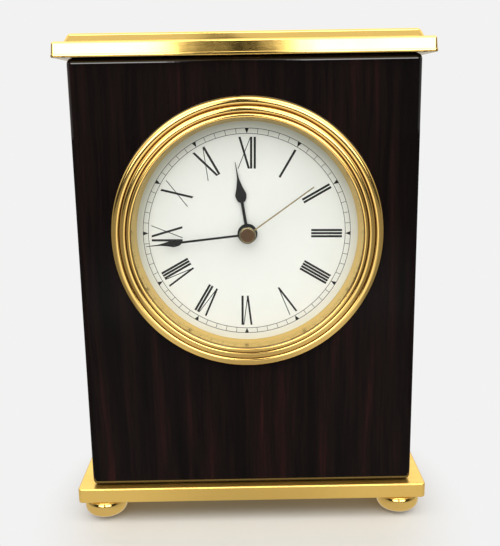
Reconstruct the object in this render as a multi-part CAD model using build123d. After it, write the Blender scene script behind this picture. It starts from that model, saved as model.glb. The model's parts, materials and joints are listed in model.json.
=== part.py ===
from build123d import *
from collections import namedtuple
import math
import os

# Mantel clock of the carriage-clock type: a lacquered wooden block between two brass
# plates on four bun feet, with a round brass-bezelled quartz insert that pushes into a
# bore through the block.  Millimetres, +Z up, front faces -Y.
# Origin: on the table plane, under the centre of the clock's overall box.
#
# The clock is modelled about the middle of the block and shifted along Y when saved.
# A "place" is (across, up) from the dial centre, seen from the front.  Depths grow
# rearward: insert depths from the block's front face, movement depths from the front
# of the movement case.

# ----- case -----
BODY_W = 114.0            # lacquered block, left to right
BODY_D = 44.0             # front to back
BODY_H = 148.4            # bottom face to top face
BODY_ROUND = 2.0          # rounding on every edge of the block
FOOT_H = 8.0              # felt pad underside to base plate underside
PAD_T = 0.8               # felt pad below the foot
PAD_RECESS = 0.3          # felt pad sunk into the foot
PAD_R = 3.6
BASE_T = 5.4              # base plate thickness
BASE_W = 124.0            # base plate, left to right
PLATE_D = 49.0            # base plate and lower tier, front to back
LOWER_W = 122.4           # lower tier of the top plate
LOWER_H = 4.9
LIP_H = 1.0               # square lip at the foot of the lower tier
LIP_STEP = 0.3            # width and depth lost above the lip
LOWER_CORNER_R = 1.2
UPPER_W = 116.0           # upper tier at its foot
UPPER_D = 41.0
UPPER_H = 2.7
UPPER_ROUND = 1.2         # rounding along the upper tier's rim
FOOT_R = 7.6              # bun foot at its widest
FOOT_NECK_R = 5.7         # where the ball starts, under the base plate
FOOT_SEAT_R = 3.9         # flat under the foot
FOOT_HOLE_R = 1.7
FOOT_HEAD_Z = 2.6         # where the screw head bears inside the foot
FOOT_X = 53.5             # foot centres
FOOT_Y = 16.5
BASE_SCREW_X = 36.0       # wood screws that hold the base plate to the block
BORE_R = 40.5             # bore for the insert, front to back

Z_BASE = FOOT_H                       # underside of base plate
Z_BODY = FOOT_H + BASE_T              # underside of block
Z_TOP = Z_BODY + BODY_H               # top of block
DIAL_Z = Z_BODY + 90.5                # height of the dial centre
TOP_SEAT_Z = DIAL_Z + 39.6            # underside of block wood under the top screw heads
BODY_FRONT = -BODY_D / 2              # y of the block's front face
BEZEL_PROUD = 4.6                     # bezel's crest in front of the block
Y_SHIFT = (BODY_D / 2 + BEZEL_PROUD - PLATE_D / 2) / 2   # centres the overall depth

TOP_SCREWS = [(-18.0, 9.0), (18.0, 9.0)]            # (x, y)
BASE_SCREWS = [(-BASE_SCREW_X, 0), (BASE_SCREW_X, 0)]
FEET = {
    "foot_front_left": (-FOOT_X, -FOOT_Y),
    "foot_front_right": (FOOT_X, -FOOT_Y),
    "foot_rear_left": (-FOOT_X, FOOT_Y),
    "foot_rear_right": (FOOT_X, FOOT_Y),
}

# ----- insert, in insert depths -----
BEZEL_R = 45.4
BEZEL_INNER_R = 38.4
SLEEVE_OUTER_R = 40.3
SLEEVE_INNER_R = 39.3
SLEEVE_END = 6.4
LENS_R = 39.2
LENS_FRONT = -3.9
LENS_BACK = -2.9
GASKET_BACK = -2.6
DIAL_R = 39.0
DIAL_HOLE_R = 2.6
DIAL_FRONT = 2.9
DIAL_BACK = 3.4
REHAUT_INNER_R = 37.3
CUP_R = 39.2
CUP_INNER_R = 38.0
CUP_END = 21.4            # rear face of the cup
CUP_FLOOR = 19.45         # inner side of the cup's rear wall
BEZEL_SCREW_DEG = [90.0, 210.0, 330.0]   # counterclockwise from the right
BEZEL_SCREW_DEPTH = 4.9

# ----- movement, in movement depths -----
MOVEMENT_Y = BODY_FRONT + DIAL_BACK   # y of the front of the movement case
MOVEMENT_W = 56.0         # movement case, square with rounded corners
MOVEMENT_CORNER_R = 4.5
MOVEMENT_D = 16.0
WALL = 1.2
CASE_SPLIT = 4.0          # where the front and rear cases meet
EAR_R = 3.0
POST_R = 1.8
POST_HOLE_R = 0.62
MIDDLE_FRONT = 5.6        # middle plate
MIDDLE_BACK = 6.4
BRIDGE_FRONT = 13.2       # gear bridge
BRIDGE_BACK = 14.2
BOARD_FRONT = 8.6         # circuit board
BOARD_BACK = 9.6
STATOR_FRONT = 11.4
STATOR_BACK = 12.2
CORE_BACK = 13.0          # coil core, lying on the back of the stator
HOUR_PIPE_R = 1.90
HOUR_PIPE_HOLE_R = 1.16
MINUTE_TUBE_R = 1.10
MINUTE_TUBE_HOLE_R = 0.54
SECONDS_R = 0.48          # seconds arbor
ARBOR_R = 0.40            # other arbors
ARBOR_FRONT = 5.7
ARBOR_BACK = 13.8
MOTION_STUD_R = 0.70
SETTING_R = 1.2           # setting shaft
SETTING_END = 18.6
PIVOT_GAP = 0.06          # running clearance on radius
FIT_GAP = 0.01            # clearance on radius between pieces fixed together
BATTERY_R = 7.25
BATTERY_UP = -18.6
BATTERY_DEPTH = 8.9


def polar(distance, degrees, origin=(0.0, 0.0)):
    """Place at a distance from origin, counterclockwise from the right."""
    angle = math.radians(degrees)
    return (origin[0] + distance * math.cos(angle), origin[1] + distance * math.sin(angle))


# arbor places
THIRD_DISTANCE = 7.5
CENTRE = (0.0, 0.0)
THIRD = polar(THIRD_DISTANCE, 110)
INTERMEDIATE = polar(7.0, 30)
ROTOR = polar(6.0, 60, INTERMEDIATE)
MOTION = (-7.2, 0.0)
SETTING = (-14.4, 0.0)
# arbors that run in both the middle plate and the gear bridge: place, radius
ARBORS = [(CENTRE, SECONDS_R), (THIRD, ARBOR_R), (INTERMEDIATE, ARBOR_R), (ROTOR, ARBOR_R)]

POSTS = [(16.0, -6.6), (-19.0, 9.0), (21.0, 9.0)]     # bridge pillars
STATOR_POSTS = [(1.5, 22.6), (16.5, 22.6)]
BOARD_POSTS = [(-22.0, 17.0), (-5.0, 24.0)]
EARS = [(-31.5, 0.0), (31.5, 0.0)]


# ----- helpers -----
def outline(points):
    """Face inside a closed outline, always facing +Z."""
    area = sum(a[0] * b[1] - b[0] * a[1] for a, b in zip(points, points[1:] + points[:1]))
    if area < 0:
        points = points[::-1]
    return make_face(Polyline(*points, close=True))


def slab(sketch, front, back, place=CENTRE):
    """Sketch stood upright facing the front, between two insert depths."""
    solid = extrude(sketch, amount=back - front)
    return Pos(place[0], BODY_FRONT + back, DIAL_Z + place[1]) * Rot(90, 0, 0) * solid


def layer(sketch, front, back, place=CENTRE):
    """As slab, between two movement depths."""
    return slab(sketch, DIAL_BACK + front, DIAL_BACK + back, place)


def disc(radius, front, back, place=CENTRE):
    return layer(Circle(radius), front, back, place)


def add_discs(solid, places, radius, front, back):
    for place in places:
        solid += disc(radius, front, back, place)
    return solid


def cut_discs(solid, places, radius, front, back):
    for place in places:
        solid -= disc(radius, front, back, place)
    return solid


def cut_arbors(solid, arbors, front, back):
    for place, radius in arbors:
        solid -= disc(radius + PIVOT_GAP, front, back, place)
    return solid


def turned(profile, place=CENTRE):
    """Turn a closed (radius, insert depth) outline about a line along Y."""
    points = [(radius, BODY_FRONT + depth) for radius, depth in profile]
    return Pos(place[0], 0, DIAL_Z + place[1]) * revolve(outline(points), Axis.Y)


def layer_turned(profile, place):
    """As turned, with movement depths."""
    return turned([(radius, DIAL_BACK + depth) for radius, depth in profile], place)


def upright_turned(profile, x, y):
    """Turn a closed (radius, z) outline about a vertical line."""
    section = make_face(Polyline(*[(radius, 0, z) for radius, z in profile], close=True))
    return Pos(x, y, 0) * revolve(section, Axis.Z)


def upright_rod(radius, bottom, top, x, y):
    return Pos(x, y, (bottom + top) / 2) * Cylinder(radius, top - bottom)


def cross_slot(length, depth, x, y, z):
    """Crossed screwdriver slots centred on a point, in a head facing down."""
    return Pos(x, y, z) * Box(length, 0.8, depth) + Pos(x, y, z) * Box(0.8, length, depth)


def box(left, right, front, back, bottom, top):
    centre = Pos((left + right) / 2, (front + back) / 2, (bottom + top) / 2)
    return centre * Box(right - left, back - front, top - bottom)


def layer_box(left, right, bottom, top, front, back):
    """Box across and up from the dial centre, between two movement depths."""
    return box(left, right, MOVEMENT_Y + front, MOVEMENT_Y + back, DIAL_Z + bottom, DIAL_Z + top)


def joined_boxes(*rows):
    """Layer boxes joined in order; rows are left, right, bottom, top, front, back."""
    solid = layer_box(*rows[0])
    for row in rows[1:]:
        solid += layer_box(*row)
    return solid


def layer_slot(place, half_width, half_height, front, back):
    across, up = place
    return layer_box(across - half_width, across + half_width,
                     up - half_height, up + half_height, front, back)


def crosswise(across, up, depth):
    """Location in the movement whose own +Z points along +X."""
    return Pos(across, MOVEMENT_Y + depth, DIAL_Z + up) * Rot(0, 90, 0)


# ----- case -----
def case_block():
    block = box(-BODY_W / 2, BODY_W / 2, BODY_FRONT, BODY_D / 2, Z_BODY, Z_TOP)
    block = fillet(block.edges(), BODY_ROUND)
    block -= slab(Circle(BORE_R), -1, BODY_D + 1)
    for x, y in BASE_SCREWS:
        block -= upright_rod(1.62, Z_BODY - 1, Z_BODY + 14, x, y)
    for x, y in TOP_SCREWS:
        block -= upright_rod(1.6, DIAL_Z, Z_TOP + 1, x, y)
        block -= upright_rod(3.1, DIAL_Z, TOP_SEAT_Z, x, y)
    return block


def tier(width, depth, corner, bottom, height, taper=0.0):
    return extrude(Pos(0, 0, bottom) * RectangleRounded(width, depth, corner),
                   amount=height, taper=taper)


def top_plate():
    """Square lip, a face that leans back and rounds over, then the upper tier."""
    lip = tier(LOWER_W, PLATE_D, LOWER_CORNER_R, Z_TOP, LIP_H)
    lip = fillet(lip.edges().group_by(Axis.Z)[0], 0.25)
    lower = tier(LOWER_W - LIP_STEP, PLATE_D - LIP_STEP, LOWER_CORNER_R,
                 Z_TOP + LIP_H, LOWER_H - LIP_H, taper=5.0)
    lower = fillet(lower.edges().group_by(Axis.Z)[-1], 0.8)
    upper = tier(UPPER_W, UPPER_D, 2.2, Z_TOP + LOWER_H, UPPER_H, taper=14.0)
    upper = fillet(upper.edges().group_by(Axis.Z)[-1], UPPER_ROUND)
    plate = lip + lower + upper
    for x, y in TOP_SCREWS:
        plate -= upright_rod(1.52, Z_TOP - 0.2, Z_TOP + 4.2, x, y)
    return plate


def base_plate():
    plate = box(-BASE_W / 2, BASE_W / 2, -PLATE_D / 2, PLATE_D / 2, Z_BASE, Z_BODY)
    plate = fillet(plate.edges().filter_by(Axis.Z), 1.5)
    plate = fillet(plate.edges().group_by(Axis.Z)[-1], 0.6)
    plate = fillet(plate.edges().group_by(Axis.Z)[0], 0.5)
    for x, y in FEET.values():
        plate -= upright_rod(1.52, Z_BASE - 0.2, Z_BASE + 4.0, x, y)
    countersink = [(0, Z_BASE - 1), (3.4, Z_BASE - 1), (3.4, Z_BASE + 0.3),
                   (1.7, Z_BASE + 2.0), (1.7, Z_BODY + 1), (0, Z_BODY + 1)]
    for x, y in BASE_SCREWS:
        plate -= upright_turned(countersink, x, y)
    return plate


def bun_foot(x, y):
    """Turned foot: flat seat, flattened ball, screw hole, counterbore, pad recess."""
    ball_top = FOOT_H - 0.35
    middle = (PAD_T + ball_top) / 2
    half_height = (ball_top - PAD_T) / 2
    profile = [(FOOT_HOLE_R, FOOT_H), (5.4, FOOT_H), (FOOT_NECK_R, ball_top)]
    steps = 20
    for k in range(1, steps):
        angle = math.radians(90 - 180 * k / steps)
        bulge = abs(math.cos(angle))
        rise = math.sin(angle)
        if rise > 0:
            radius = FOOT_NECK_R + (FOOT_R - FOOT_NECK_R) * bulge ** 0.85
        else:
            radius = FOOT_SEAT_R + (FOOT_R - FOOT_SEAT_R) * bulge
        profile.append((radius, middle + half_height * rise))
    recess_r = PAD_R + 0.05
    recess_z = PAD_T + PAD_RECESS
    profile += [(FOOT_SEAT_R, PAD_T), (recess_r, PAD_T), (recess_r, recess_z),
                (2.75, recess_z), (2.75, FOOT_HEAD_Z), (FOOT_HOLE_R, FOOT_HEAD_Z)]
    return upright_turned(profile, x, y)


def foot_pads():
    return [upright_rod(PAD_R, 0, PAD_T + PAD_RECESS, x, y) for x, y in FEET.values()]


def foot_screws():
    profile = [(0, 1.25), (2.2, 1.25), (2.6, 1.6), (2.6, FOOT_HEAD_Z),
               (1.5, FOOT_HEAD_Z), (1.5, 11.4), (0, 11.8)]
    return [upright_turned(profile, x, y) - cross_slot(3.6, 0.6, x, y, 1.5)
            for x, y in FEET.values()]


def base_plate_screws():
    profile = [(0, Z_BASE + 0.3), (3.35, Z_BASE + 0.3), (1.6, Z_BASE + 2.05),
               (1.6, Z_BASE + 17.0), (0, Z_BASE + 19.0)]
    return [upright_turned(profile, x, y) - cross_slot(4.6, 0.8, x, y, Z_BASE + 0.6)
            for x, y in BASE_SCREWS]


def top_plate_screws():
    """Screws driven up from the bore, heads downward."""
    seat = TOP_SEAT_Z
    profile = [(0, seat - 2.0), (2.2, seat - 2.0), (2.9, seat - 1.3), (2.9, seat),
               (1.5, seat), (1.5, Z_TOP + 3.6), (0, Z_TOP + 4.0)]
    return [upright_turned(profile, x, y) - Pos(x, y, seat - 1.8) * Box(4.0, 0.8, 0.7)
            for x, y in TOP_SCREWS]


# ----- insert: bezel, lens, dial, cup -----
def bead(foot, crest, crevice, rise_steps=8, roll_steps=4):
    """Section of one turned bead, points (radius, depth): a quarter round from its
    foot up to its crest, then a short roll down to the crevice on its inner side."""
    points = []
    for k in range(rise_steps + 1):
        angle = math.radians(8 + 82 * k / rise_steps)
        points.append((crest[0] + (foot[0] - crest[0]) * math.cos(angle),
                       foot[1] + (crest[1] - foot[1]) * math.sin(angle)))
    for k in range(1, roll_steps + 1):
        angle = math.radians(68 * k / roll_steps)
        points.append((crest[0] - (crest[0] - crevice[0]) * math.sin(angle),
                       crevice[1] + (crest[1] - crevice[1]) * math.cos(angle)))
    return points + [crevice]


def radial_rods(distance, radius, length):
    """Rods pointing at the dial axis, one at each bezel screw."""
    return [Pos(0, BODY_FRONT + BEZEL_SCREW_DEPTH, DIAL_Z) * Rot(0, -degrees, 0)
            * Pos(distance, 0, 0) * Rot(0, 90, 0) * Cylinder(radius, length)
            for degrees in BEZEL_SCREW_DEG]


def bezel_drills():
    return radial_rods(39.2, 0.8, 4.0)


def bezel():
    """Outer wall, three beads rising towards the glass, and the sleeve behind."""
    wall_front = (BEZEL_R, -0.9)
    outer_crevice = (42.35, -2.2)
    inner_crevice = (39.95, -3.2)
    profile = [(BEZEL_R, 0.0), wall_front]
    profile += bead(wall_front, (43.3, -2.9), outer_crevice)
    profile += bead(outer_crevice, (40.7, -3.8), inner_crevice)
    profile += bead(inner_crevice, (38.95, -BEZEL_PROUD), (BEZEL_INNER_R, -4.3))
    profile += [(BEZEL_INNER_R, LENS_FRONT), (SLEEVE_INNER_R, LENS_FRONT),
                (SLEEVE_INNER_R, SLEEVE_END), (SLEEVE_OUTER_R, SLEEVE_END),
                (SLEEVE_OUTER_R, 0.0)]
    ring = turned(profile)
    for drill in bezel_drills():
        ring -= drill
    return ring


def bezel_screws():
    return radial_rods(39.25, 0.78, 1.9)


def insert_cup():
    cup = turned([(36.5, CUP_FLOOR), (CUP_INNER_R, CUP_FLOOR), (CUP_INNER_R, DIAL_BACK),
                  (CUP_R, DIAL_BACK), (CUP_R, CUP_END), (0, CUP_END), (0, CUP_FLOOR)])
    cup -= slab(RectangleRounded(53.6, 54.0, 3.5), 16, 26)
    for drill in bezel_drills():
        cup -= drill
    return cut_discs(cup, EARS, 1.05, 14, 20)


def lens():
    return turned([(0, LENS_FRONT), (LENS_R, LENS_FRONT), (LENS_R, LENS_BACK), (0, LENS_BACK)])


def lens_gasket():
    return turned([(38.75, LENS_BACK), (LENS_R, LENS_BACK),
                   (LENS_R, GASKET_BACK), (38.75, GASKET_BACK)])


def rehaut_ring():
    return turned([(38.45, GASKET_BACK), (LENS_R, GASKET_BACK), (LENS_R, DIAL_FRONT),
                   (REHAUT_INNER_R, DIAL_FRONT), (REHAUT_INNER_R, DIAL_FRONT - 0.25)])


def dial():
    return turned([(DIAL_HOLE_R, DIAL_FRONT), (DIAL_R, DIAL_FRONT),
                   (DIAL_R, DIAL_BACK), (DIAL_HOLE_R, DIAL_BACK)])


def friction_ring():
    """Ring round the cup with four ribs."""
    root_r = 39.9
    rib_r = 40.4
    profile = [(CUP_R, 7.5), (root_r, 7.5)]
    for k in range(4):
        start = 8.1 + 1.6 * k
        profile += [(rib_r, start), (rib_r, start + 0.6), (root_r, start + 1.0)]
    profile += [(root_r, 14.5), (CUP_R, 14.5)]
    return turned(profile)


# ----- movement case -----
CASE_OUTER = RectangleRounded(MOVEMENT_W, MOVEMENT_W, MOVEMENT_CORNER_R)
CASE_INNER = RectangleRounded(MOVEMENT_W - 2 * WALL, MOVEMENT_W - 2 * WALL,
                              MOVEMENT_CORNER_R - WALL)


def movement_front_case():
    case = layer(CASE_OUTER, 0, WALL) + (layer(CASE_OUTER, 0, CASE_SPLIT)
                                         - layer(CASE_INNER, 1.0, 5.0))
    for across, up in EARS:
        case += disc(EAR_R, 0, MOVEMENT_D, (across, up))
        left, right = sorted((across, math.copysign(27.5, across)))
        case += layer_box(left, right, -2.2, 2.2, 0, 3.9)
    case = add_discs(case, POSTS, POST_R, 1.0, MIDDLE_FRONT)
    case = add_discs(case, BOARD_POSTS, 1.2, 1.0, BOARD_FRONT)
    case += disc(1.0, 1.0, 4.2, THIRD)                # bearing of the third wheel
    case += disc(MOTION_STUD_R, 1.0, 4.35, MOTION)    # stud of the motion wheel
    case -= disc(HOUR_PIPE_R + PIVOT_GAP, -1, 3)
    case -= disc(ARBOR_R + PIVOT_GAP, 3.2, 5.0, THIRD)
    case = cut_discs(case, POSTS, POST_HOLE_R, 2.6, 6.0)
    return cut_discs(case, EARS, 0.92, 8.0, 17.0)


def movement_rear_case():
    case = (layer(CASE_OUTER, CASE_SPLIT, MOVEMENT_D)
            - layer(CASE_INNER, 3.0, MOVEMENT_D - WALL))
    case = cut_discs(case, EARS, EAR_R + 0.05, 3.0, 17.0)
    case += layer_box(-26.0, 26.0, -11.2, -10.3, CASE_SPLIT, 15.0)  # battery bay wall
    case -= layer_box(-26.6, 26.6, -26.6, -11.2, 14.0, 17.0)        # open rear of the bay
    return case - disc(1.32, 14.0, 17.0, SETTING)


def middle_plate():
    plate = joined_boxes((-21.0, 23.0, -9.2, 15.0, MIDDLE_FRONT, MIDDLE_BACK),
                         (-0.6, 19.4, 14.0, 24.6, MIDDLE_FRONT, MIDDLE_BACK))
    plate = add_discs(plate, STATOR_POSTS, 1.2, 6.0, STATOR_FRONT)
    plate = cut_arbors(plate, ARBORS + [(SETTING, SETTING_R)], 5.0, 7.0)
    return cut_discs(plate, POSTS, POST_HOLE_R, 5.0, 7.0)


def gear_bridge():
    bridge = layer_box(-21.0, 23.0, -9.2, 15.4, BRIDGE_FRONT, BRIDGE_BACK)
    bridge -= layer_box(-22.0, -10.0, -10.0, 5.0, 13.0, 15.0)
    bridge = add_discs(bridge, POSTS, POST_R, MIDDLE_BACK, 13.4)
    bridge = cut_arbors(bridge, ARBORS, 13.0, 15.0)
    return cut_discs(bridge, POSTS, POST_HOLE_R, 6.0, 15.0)


def movement_screws():
    profile = [(0, 2.9), (0.6, 2.9), (0.6, BRIDGE_BACK), (1.3, BRIDGE_BACK),
               (1.3, 14.7), (0, 14.7)]
    return [layer_turned(profile, place) - layer_slot(place, 0.9, 0.15, 14.45, 15.0)
            for place in POSTS]


def cup_screws():
    seat = CUP_END - DIAL_BACK
    profile = [(0, 8.6), (0.9, 8.6), (0.9, seat), (1.9, seat), (1.9, seat + 0.6),
               (1.3, seat + 1.1), (0, seat + 1.1)]
    return [layer_turned(profile, place)
            - layer_slot(place, 1.2, 0.2, seat + 0.6, seat + 2)
            - layer_slot(place, 0.2, 1.2, seat + 0.6, seat + 2)
            for place in EARS]


# ----- motor and electrics -----
def stator():
    """Yoke round the rotor with two arms up to the coil."""
    plate = joined_boxes((0, 18, 4.3, 13.1, STATOR_FRONT, STATOR_BACK),
                         (0, 3.2, 12.0, 24.0, STATOR_FRONT, STATOR_BACK),
                         (14.8, 18, 12.0, 24.0, STATOR_FRONT, STATOR_BACK))
    plate -= disc(3.2, 11.0, 13.0, ROTOR)
    for bottom, top in ((4.0, 4.9), (12.5, 13.6)):    # notches below and above the rotor
        plate -= layer_box(ROTOR[0] - 0.25, ROTOR[0] + 0.25, bottom, top, 11.0, 13.0)
    return plate


def coil_core():
    return layer_box(0.2, 17.8, 20.2, 21.8, STATOR_BACK, CORE_BACK)


def coil_bobbin():
    bobbin = joined_boxes((3.6, 4.2, 19.0, 23.0, 10.7, 14.5),
                          (13.8, 14.4, 19.0, 23.0, 10.7, 14.5),
                          (4.2, 13.8, 19.9, 22.1, 11.9, 13.3))
    return bobbin - layer_box(3.0, 15.0, 20.15, 21.85, STATOR_BACK - 0.05, CORE_BACK + 0.05)


def coil_winding():
    length = 9.5
    section = Pos(0, 0, -length / 2) * RectangleRounded(3.5, 3.6, 1.1)
    return (crosswise(9.0, 21.0, 12.6) * extrude(section, amount=length)
            - layer_box(3.0, 15.0, 19.88, 22.12, 11.88, 13.32))


def circuit_board():
    return (layer_box(-26.0, -3.0, 15.0, 26.0, BOARD_FRONT, BOARD_BACK)
            - layer_box(-27, -23.2, 23.4, 27, 8, 10) - disc(0.5, 8, 10, (-14, 24)))


def ic_chip():
    return layer_turned([(0, BOARD_BACK), (2.4, BOARD_BACK), (2.1, 10.1), (1.3, 10.5),
                         (0, 10.6)], (-12.0, 18.5))


def quartz_crystal():
    return crosswise(-8.0, 22.5, 10.65) * Cylinder(1.0, 6.2)


def positive_contact():
    strip = joined_boxes((26.3, 26.7, -23.4, -9.8, 5.0, 12.0),
                         (-26.7, 26.7, -10.1, -9.7, 7.0, 9.0),
                         (-26.7, -26.3, -10.1, 17.4, 7.0, 8.2),
                         (-26.7, -24.9, 15.6, 17.4, 8.2, BOARD_FRONT),
                         (-26.7, -26.3, 15.6, 17.4, 8.0, BOARD_FRONT))
    return strip + crosswise(25.85, BATTERY_UP, BATTERY_DEPTH) * Cylinder(1.6, 0.9)


def negative_contact():
    strip = joined_boxes((-26.7, -26.3, -23.4, -11.4, 5.0, 12.0),
                         (-26.7, -26.3, -23.4, 20.0, 9.8, 11.4),
                         (-26.7, -25.0, 18.2, 20.0, BOARD_BACK, 10.0))
    return strip + crosswise(-25.85, BATTERY_UP, BATTERY_DEPTH) * Cone(3.4, 2.2, 0.9)


def battery():
    cell = (fillet(Cylinder(BATTERY_R, 49.2).edges(), 0.7)
            + Pos(0, 0, 25.2) * Cylinder(2.75, 1.4))
    return crosswise(-0.6, BATTERY_UP, BATTERY_DEPTH) * cell


# ----- hands, at rest at sixteen minutes to twelve -----
def spade(hub_r, stem, leaf_start, wide_at, wide, shoulder, leaf_end, needle, tip):
    """Spade hand pointing up: stem, round-backed leaf, needle point.  Widths are full
    widths, heights are from the hub, shoulder is the power of the leaf's taper."""
    half = [(stem / 2, hub_r * 0.7), (stem / 2, leaf_start)]
    for k in range(1, 9):
        angle = math.radians(90.0 * k / 8)
        half.append((stem / 2 + (wide / 2 - stem / 2) * math.sin(angle),
                     wide_at - (wide_at - leaf_start) * math.cos(angle)))
    for k in range(1, 13):
        part = k / 12
        half.append((wide / 2 + (needle / 2 - wide / 2) * (1 - (1 - part) ** shoulder),
                     wide_at + (leaf_end - wide_at) * part))
    half.append((0.07, tip))
    return outline(half + [(-x, y) for x, y in reversed(half)])


def hand(blade, degrees, front, back, hub_back, hub_r, hole_r):
    """Blade drawn pointing up, turned clockwise, on a bored hub; insert depths."""
    pointer = slab(Rot(0, 0, -degrees) * blade, front, back)
    hub = slab(Circle(hub_r), front, hub_back)
    return pointer + hub - slab(Circle(hole_r), front - 1, hub_back + 1)


def hour_hand():
    blade = spade(hub_r=3.3, stem=0.87, leaf_start=10.7, wide_at=13.5, wide=3.75,
                  shoulder=1.65, leaf_end=20.2, needle=0.42, tip=24.3)
    return hand(blade, degrees=351.3, front=2.0, back=2.3, hub_back=2.3,
                hub_r=3.35, hole_r=HOUR_PIPE_R + FIT_GAP)


def minute_hand():
    blade = spade(hub_r=2.4, stem=0.60, leaf_start=20.6, wide_at=22.8, wide=2.5,
                  shoulder=1.7, leaf_end=28.8, needle=0.34, tip=34.2)
    return hand(blade, degrees=264.1, front=0.0, back=0.3, hub_back=0.3,
                hub_r=2.4, hole_r=MINUTE_TUBE_R + FIT_GAP)


def second_hand():
    blade = outline([(0.21, 0), (0.16, 27.1), (-0.16, 27.1), (-0.21, 0)])
    return hand(blade, degrees=54.7, front=-1.15, back=-0.95, hub_back=-0.70,
                hub_r=1.2, hole_r=SECONDS_R + FIT_GAP)


def second_hand_cap():
    hole_r = SECONDS_R + FIT_GAP
    return turned([(0, -2.2), (1.9, -2.2), (2.45, -2.15), (2.7, -2.0), (2.8, -1.75),
                   (2.8, -1.4), (2.65, -1.17), (hole_r, -1.17), (hole_r, -1.8), (0, -1.8)])


# ----- gears -----
# shift is the profile shift in modules; angle is the direction (radians) of one tooth
Gear = namedtuple("Gear", "teeth module shift place angle")
PRESSURE_ANGLE = math.radians(20.0)
ADDENDUM = 0.9            # these three in modules
DEDENDUM = 1.15
TOOTH_PLAY = 0.12
FLANK_STEPS = 3


def meshing(mate, teeth, place):
    """Gear at place that meshes with mate, with the opposite profile shift."""
    towards = math.atan2(place[1] - mate.place[1], place[0] - mate.place[0])
    phase = (mate.angle - towards) / (2 * math.pi / mate.teeth)
    angle = towards + math.pi + (0.5 - phase) * (2 * math.pi / teeth)
    return Gear(teeth, mate.module, -mate.shift, place, angle)


def involute(angle):
    return math.tan(angle) - angle


def gear_layer(gear, front, back):
    """Involute gear between two movement depths."""
    pitch_r = gear.teeth * gear.module / 2
    base_r = pitch_r * math.cos(PRESSURE_ANGLE)
    tip_r = pitch_r + gear.module * (ADDENDUM + gear.shift)
    root_r = pitch_r - gear.module * (DEDENDUM - gear.shift)
    half_tooth = ((math.pi / 2 + 2 * gear.shift * math.tan(PRESSURE_ANGLE)) / gear.teeth
                  - TOOTH_PLAY * gear.module / (2 * pitch_r))

    def half_angle(radius):
        angle = half_tooth + involute(PRESSURE_ANGLE)
        if radius > base_r:
            angle -= involute(math.acos(base_r / radius))
        return angle

    flank_r = max(base_r, root_r + 0.02 * gear.module)
    radii = [root_r] + [flank_r + (tip_r - flank_r) * k / FLANK_STEPS
                        for k in range(FLANK_STEPS + 1)]
    flank = [(radius, -half_angle(radius)) for radius in radii]
    flank += [(radius, half_angle(radius)) for radius in reversed(radii)]
    points = []
    for k in range(gear.teeth):
        middle = gear.angle + 2 * math.pi * k / gear.teeth
        points += [(radius * math.cos(middle + turn), radius * math.sin(middle + turn))
                   for radius, turn in flank]
    return layer(outline(points), front, back, gear.place)


# rotor to seconds
ROTOR_GEAR = Gear(10, 0.2, 0.42, ROTOR, math.radians(17))
INTERMEDIATE_GEAR = meshing(ROTOR_GEAR, 50, INTERMEDIATE)
INTERMEDIATE_PINION = Gear(10, 0.2, 0.42, INTERMEDIATE, math.radians(5))
SECONDS_GEAR = meshing(INTERMEDIATE_PINION, 60, CENTRE)
# seconds to minutes
SECONDS_PINION = Gear(8, 2 * THIRD_DISTANCE / (8 + 60), 0.53, CENTRE, math.radians(11))
THIRD_GEAR = meshing(SECONDS_PINION, 60, THIRD)
THIRD_PINION = Gear(8, 2 * THIRD_DISTANCE / (8 + 64), 0.53, THIRD, math.radians(3))
CENTRE_GEAR = meshing(THIRD_PINION, 64, CENTRE)
# minutes to hours, and setting
CANNON_GEAR = Gear(12, 0.3, 0.30, CENTRE, math.radians(8))
MOTION_GEAR = meshing(CANNON_GEAR, 36, MOTION)
MOTION_PINION = Gear(10, 0.288, 0.42, MOTION, math.radians(13))
HOUR_GEAR = meshing(MOTION_PINION, 40, CENTRE)
SETTING_GEAR = meshing(MOTION_GEAR, 12, SETTING)


def hour_wheel():
    wheel = gear_layer(HOUR_GEAR, 1.6, 2.4) + disc(HOUR_PIPE_R, -1.4, 2.4)
    return wheel - disc(HOUR_PIPE_HOLE_R, -3, 4)


def cannon_pinion():
    return gear_layer(CANNON_GEAR, 2.75, 3.95) - disc(MINUTE_TUBE_R + FIT_GAP, 2, 5)


def centre_wheel():
    wheel = gear_layer(CENTRE_GEAR, 4.6, 5.2) + disc(MINUTE_TUBE_R, -3.6, 5.4)
    return wheel - disc(MINUTE_TUBE_HOLE_R, -5, 7)


def motion_wheel():
    wheel = gear_layer(MOTION_GEAR, 3.0, 3.8) + gear_layer(MOTION_PINION, 1.35, 3.0)
    return wheel - disc(MOTION_STUD_R + PIVOT_GAP, 0, 6, MOTION)


def third_wheel():
    return (gear_layer(THIRD_GEAR, 6.6, 7.2) + gear_layer(THIRD_PINION, 4.4, 5.45)
            + disc(ARBOR_R, 3.4, ARBOR_BACK, THIRD))


def seconds_arbor():
    return gear_layer(SECONDS_PINION, 6.5, 7.5) + disc(SECONDS_R, -5.15, ARBOR_BACK)


def seconds_wheel():
    wheel = gear_layer(SECONDS_GEAR, 8.0, 8.6) + disc(1.3, 7.6, 9.0)
    return wheel - disc(SECONDS_R + FIT_GAP, 7, 10)


def intermediate_wheel():
    return (gear_layer(INTERMEDIATE_GEAR, 9.4, 10.0) + gear_layer(INTERMEDIATE_PINION, 7.8, 9.4)
            + disc(ARBOR_R, ARBOR_FRONT, ARBOR_BACK, INTERMEDIATE))


def rotor_pinion():
    return gear_layer(ROTOR_GEAR, 9.2, 10.2) + disc(ARBOR_R, ARBOR_FRONT, ARBOR_BACK, ROTOR)


def rotor_magnet():
    return disc(2.6, 10.8, 12.8, ROTOR) - disc(ARBOR_R + FIT_GAP, 10.3, 13.3, ROTOR)


def setting_shaft():
    return gear_layer(SETTING_GEAR, 2.8, 4.0) + disc(SETTING_R, 2.4, SETTING_END, SETTING)


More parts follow.
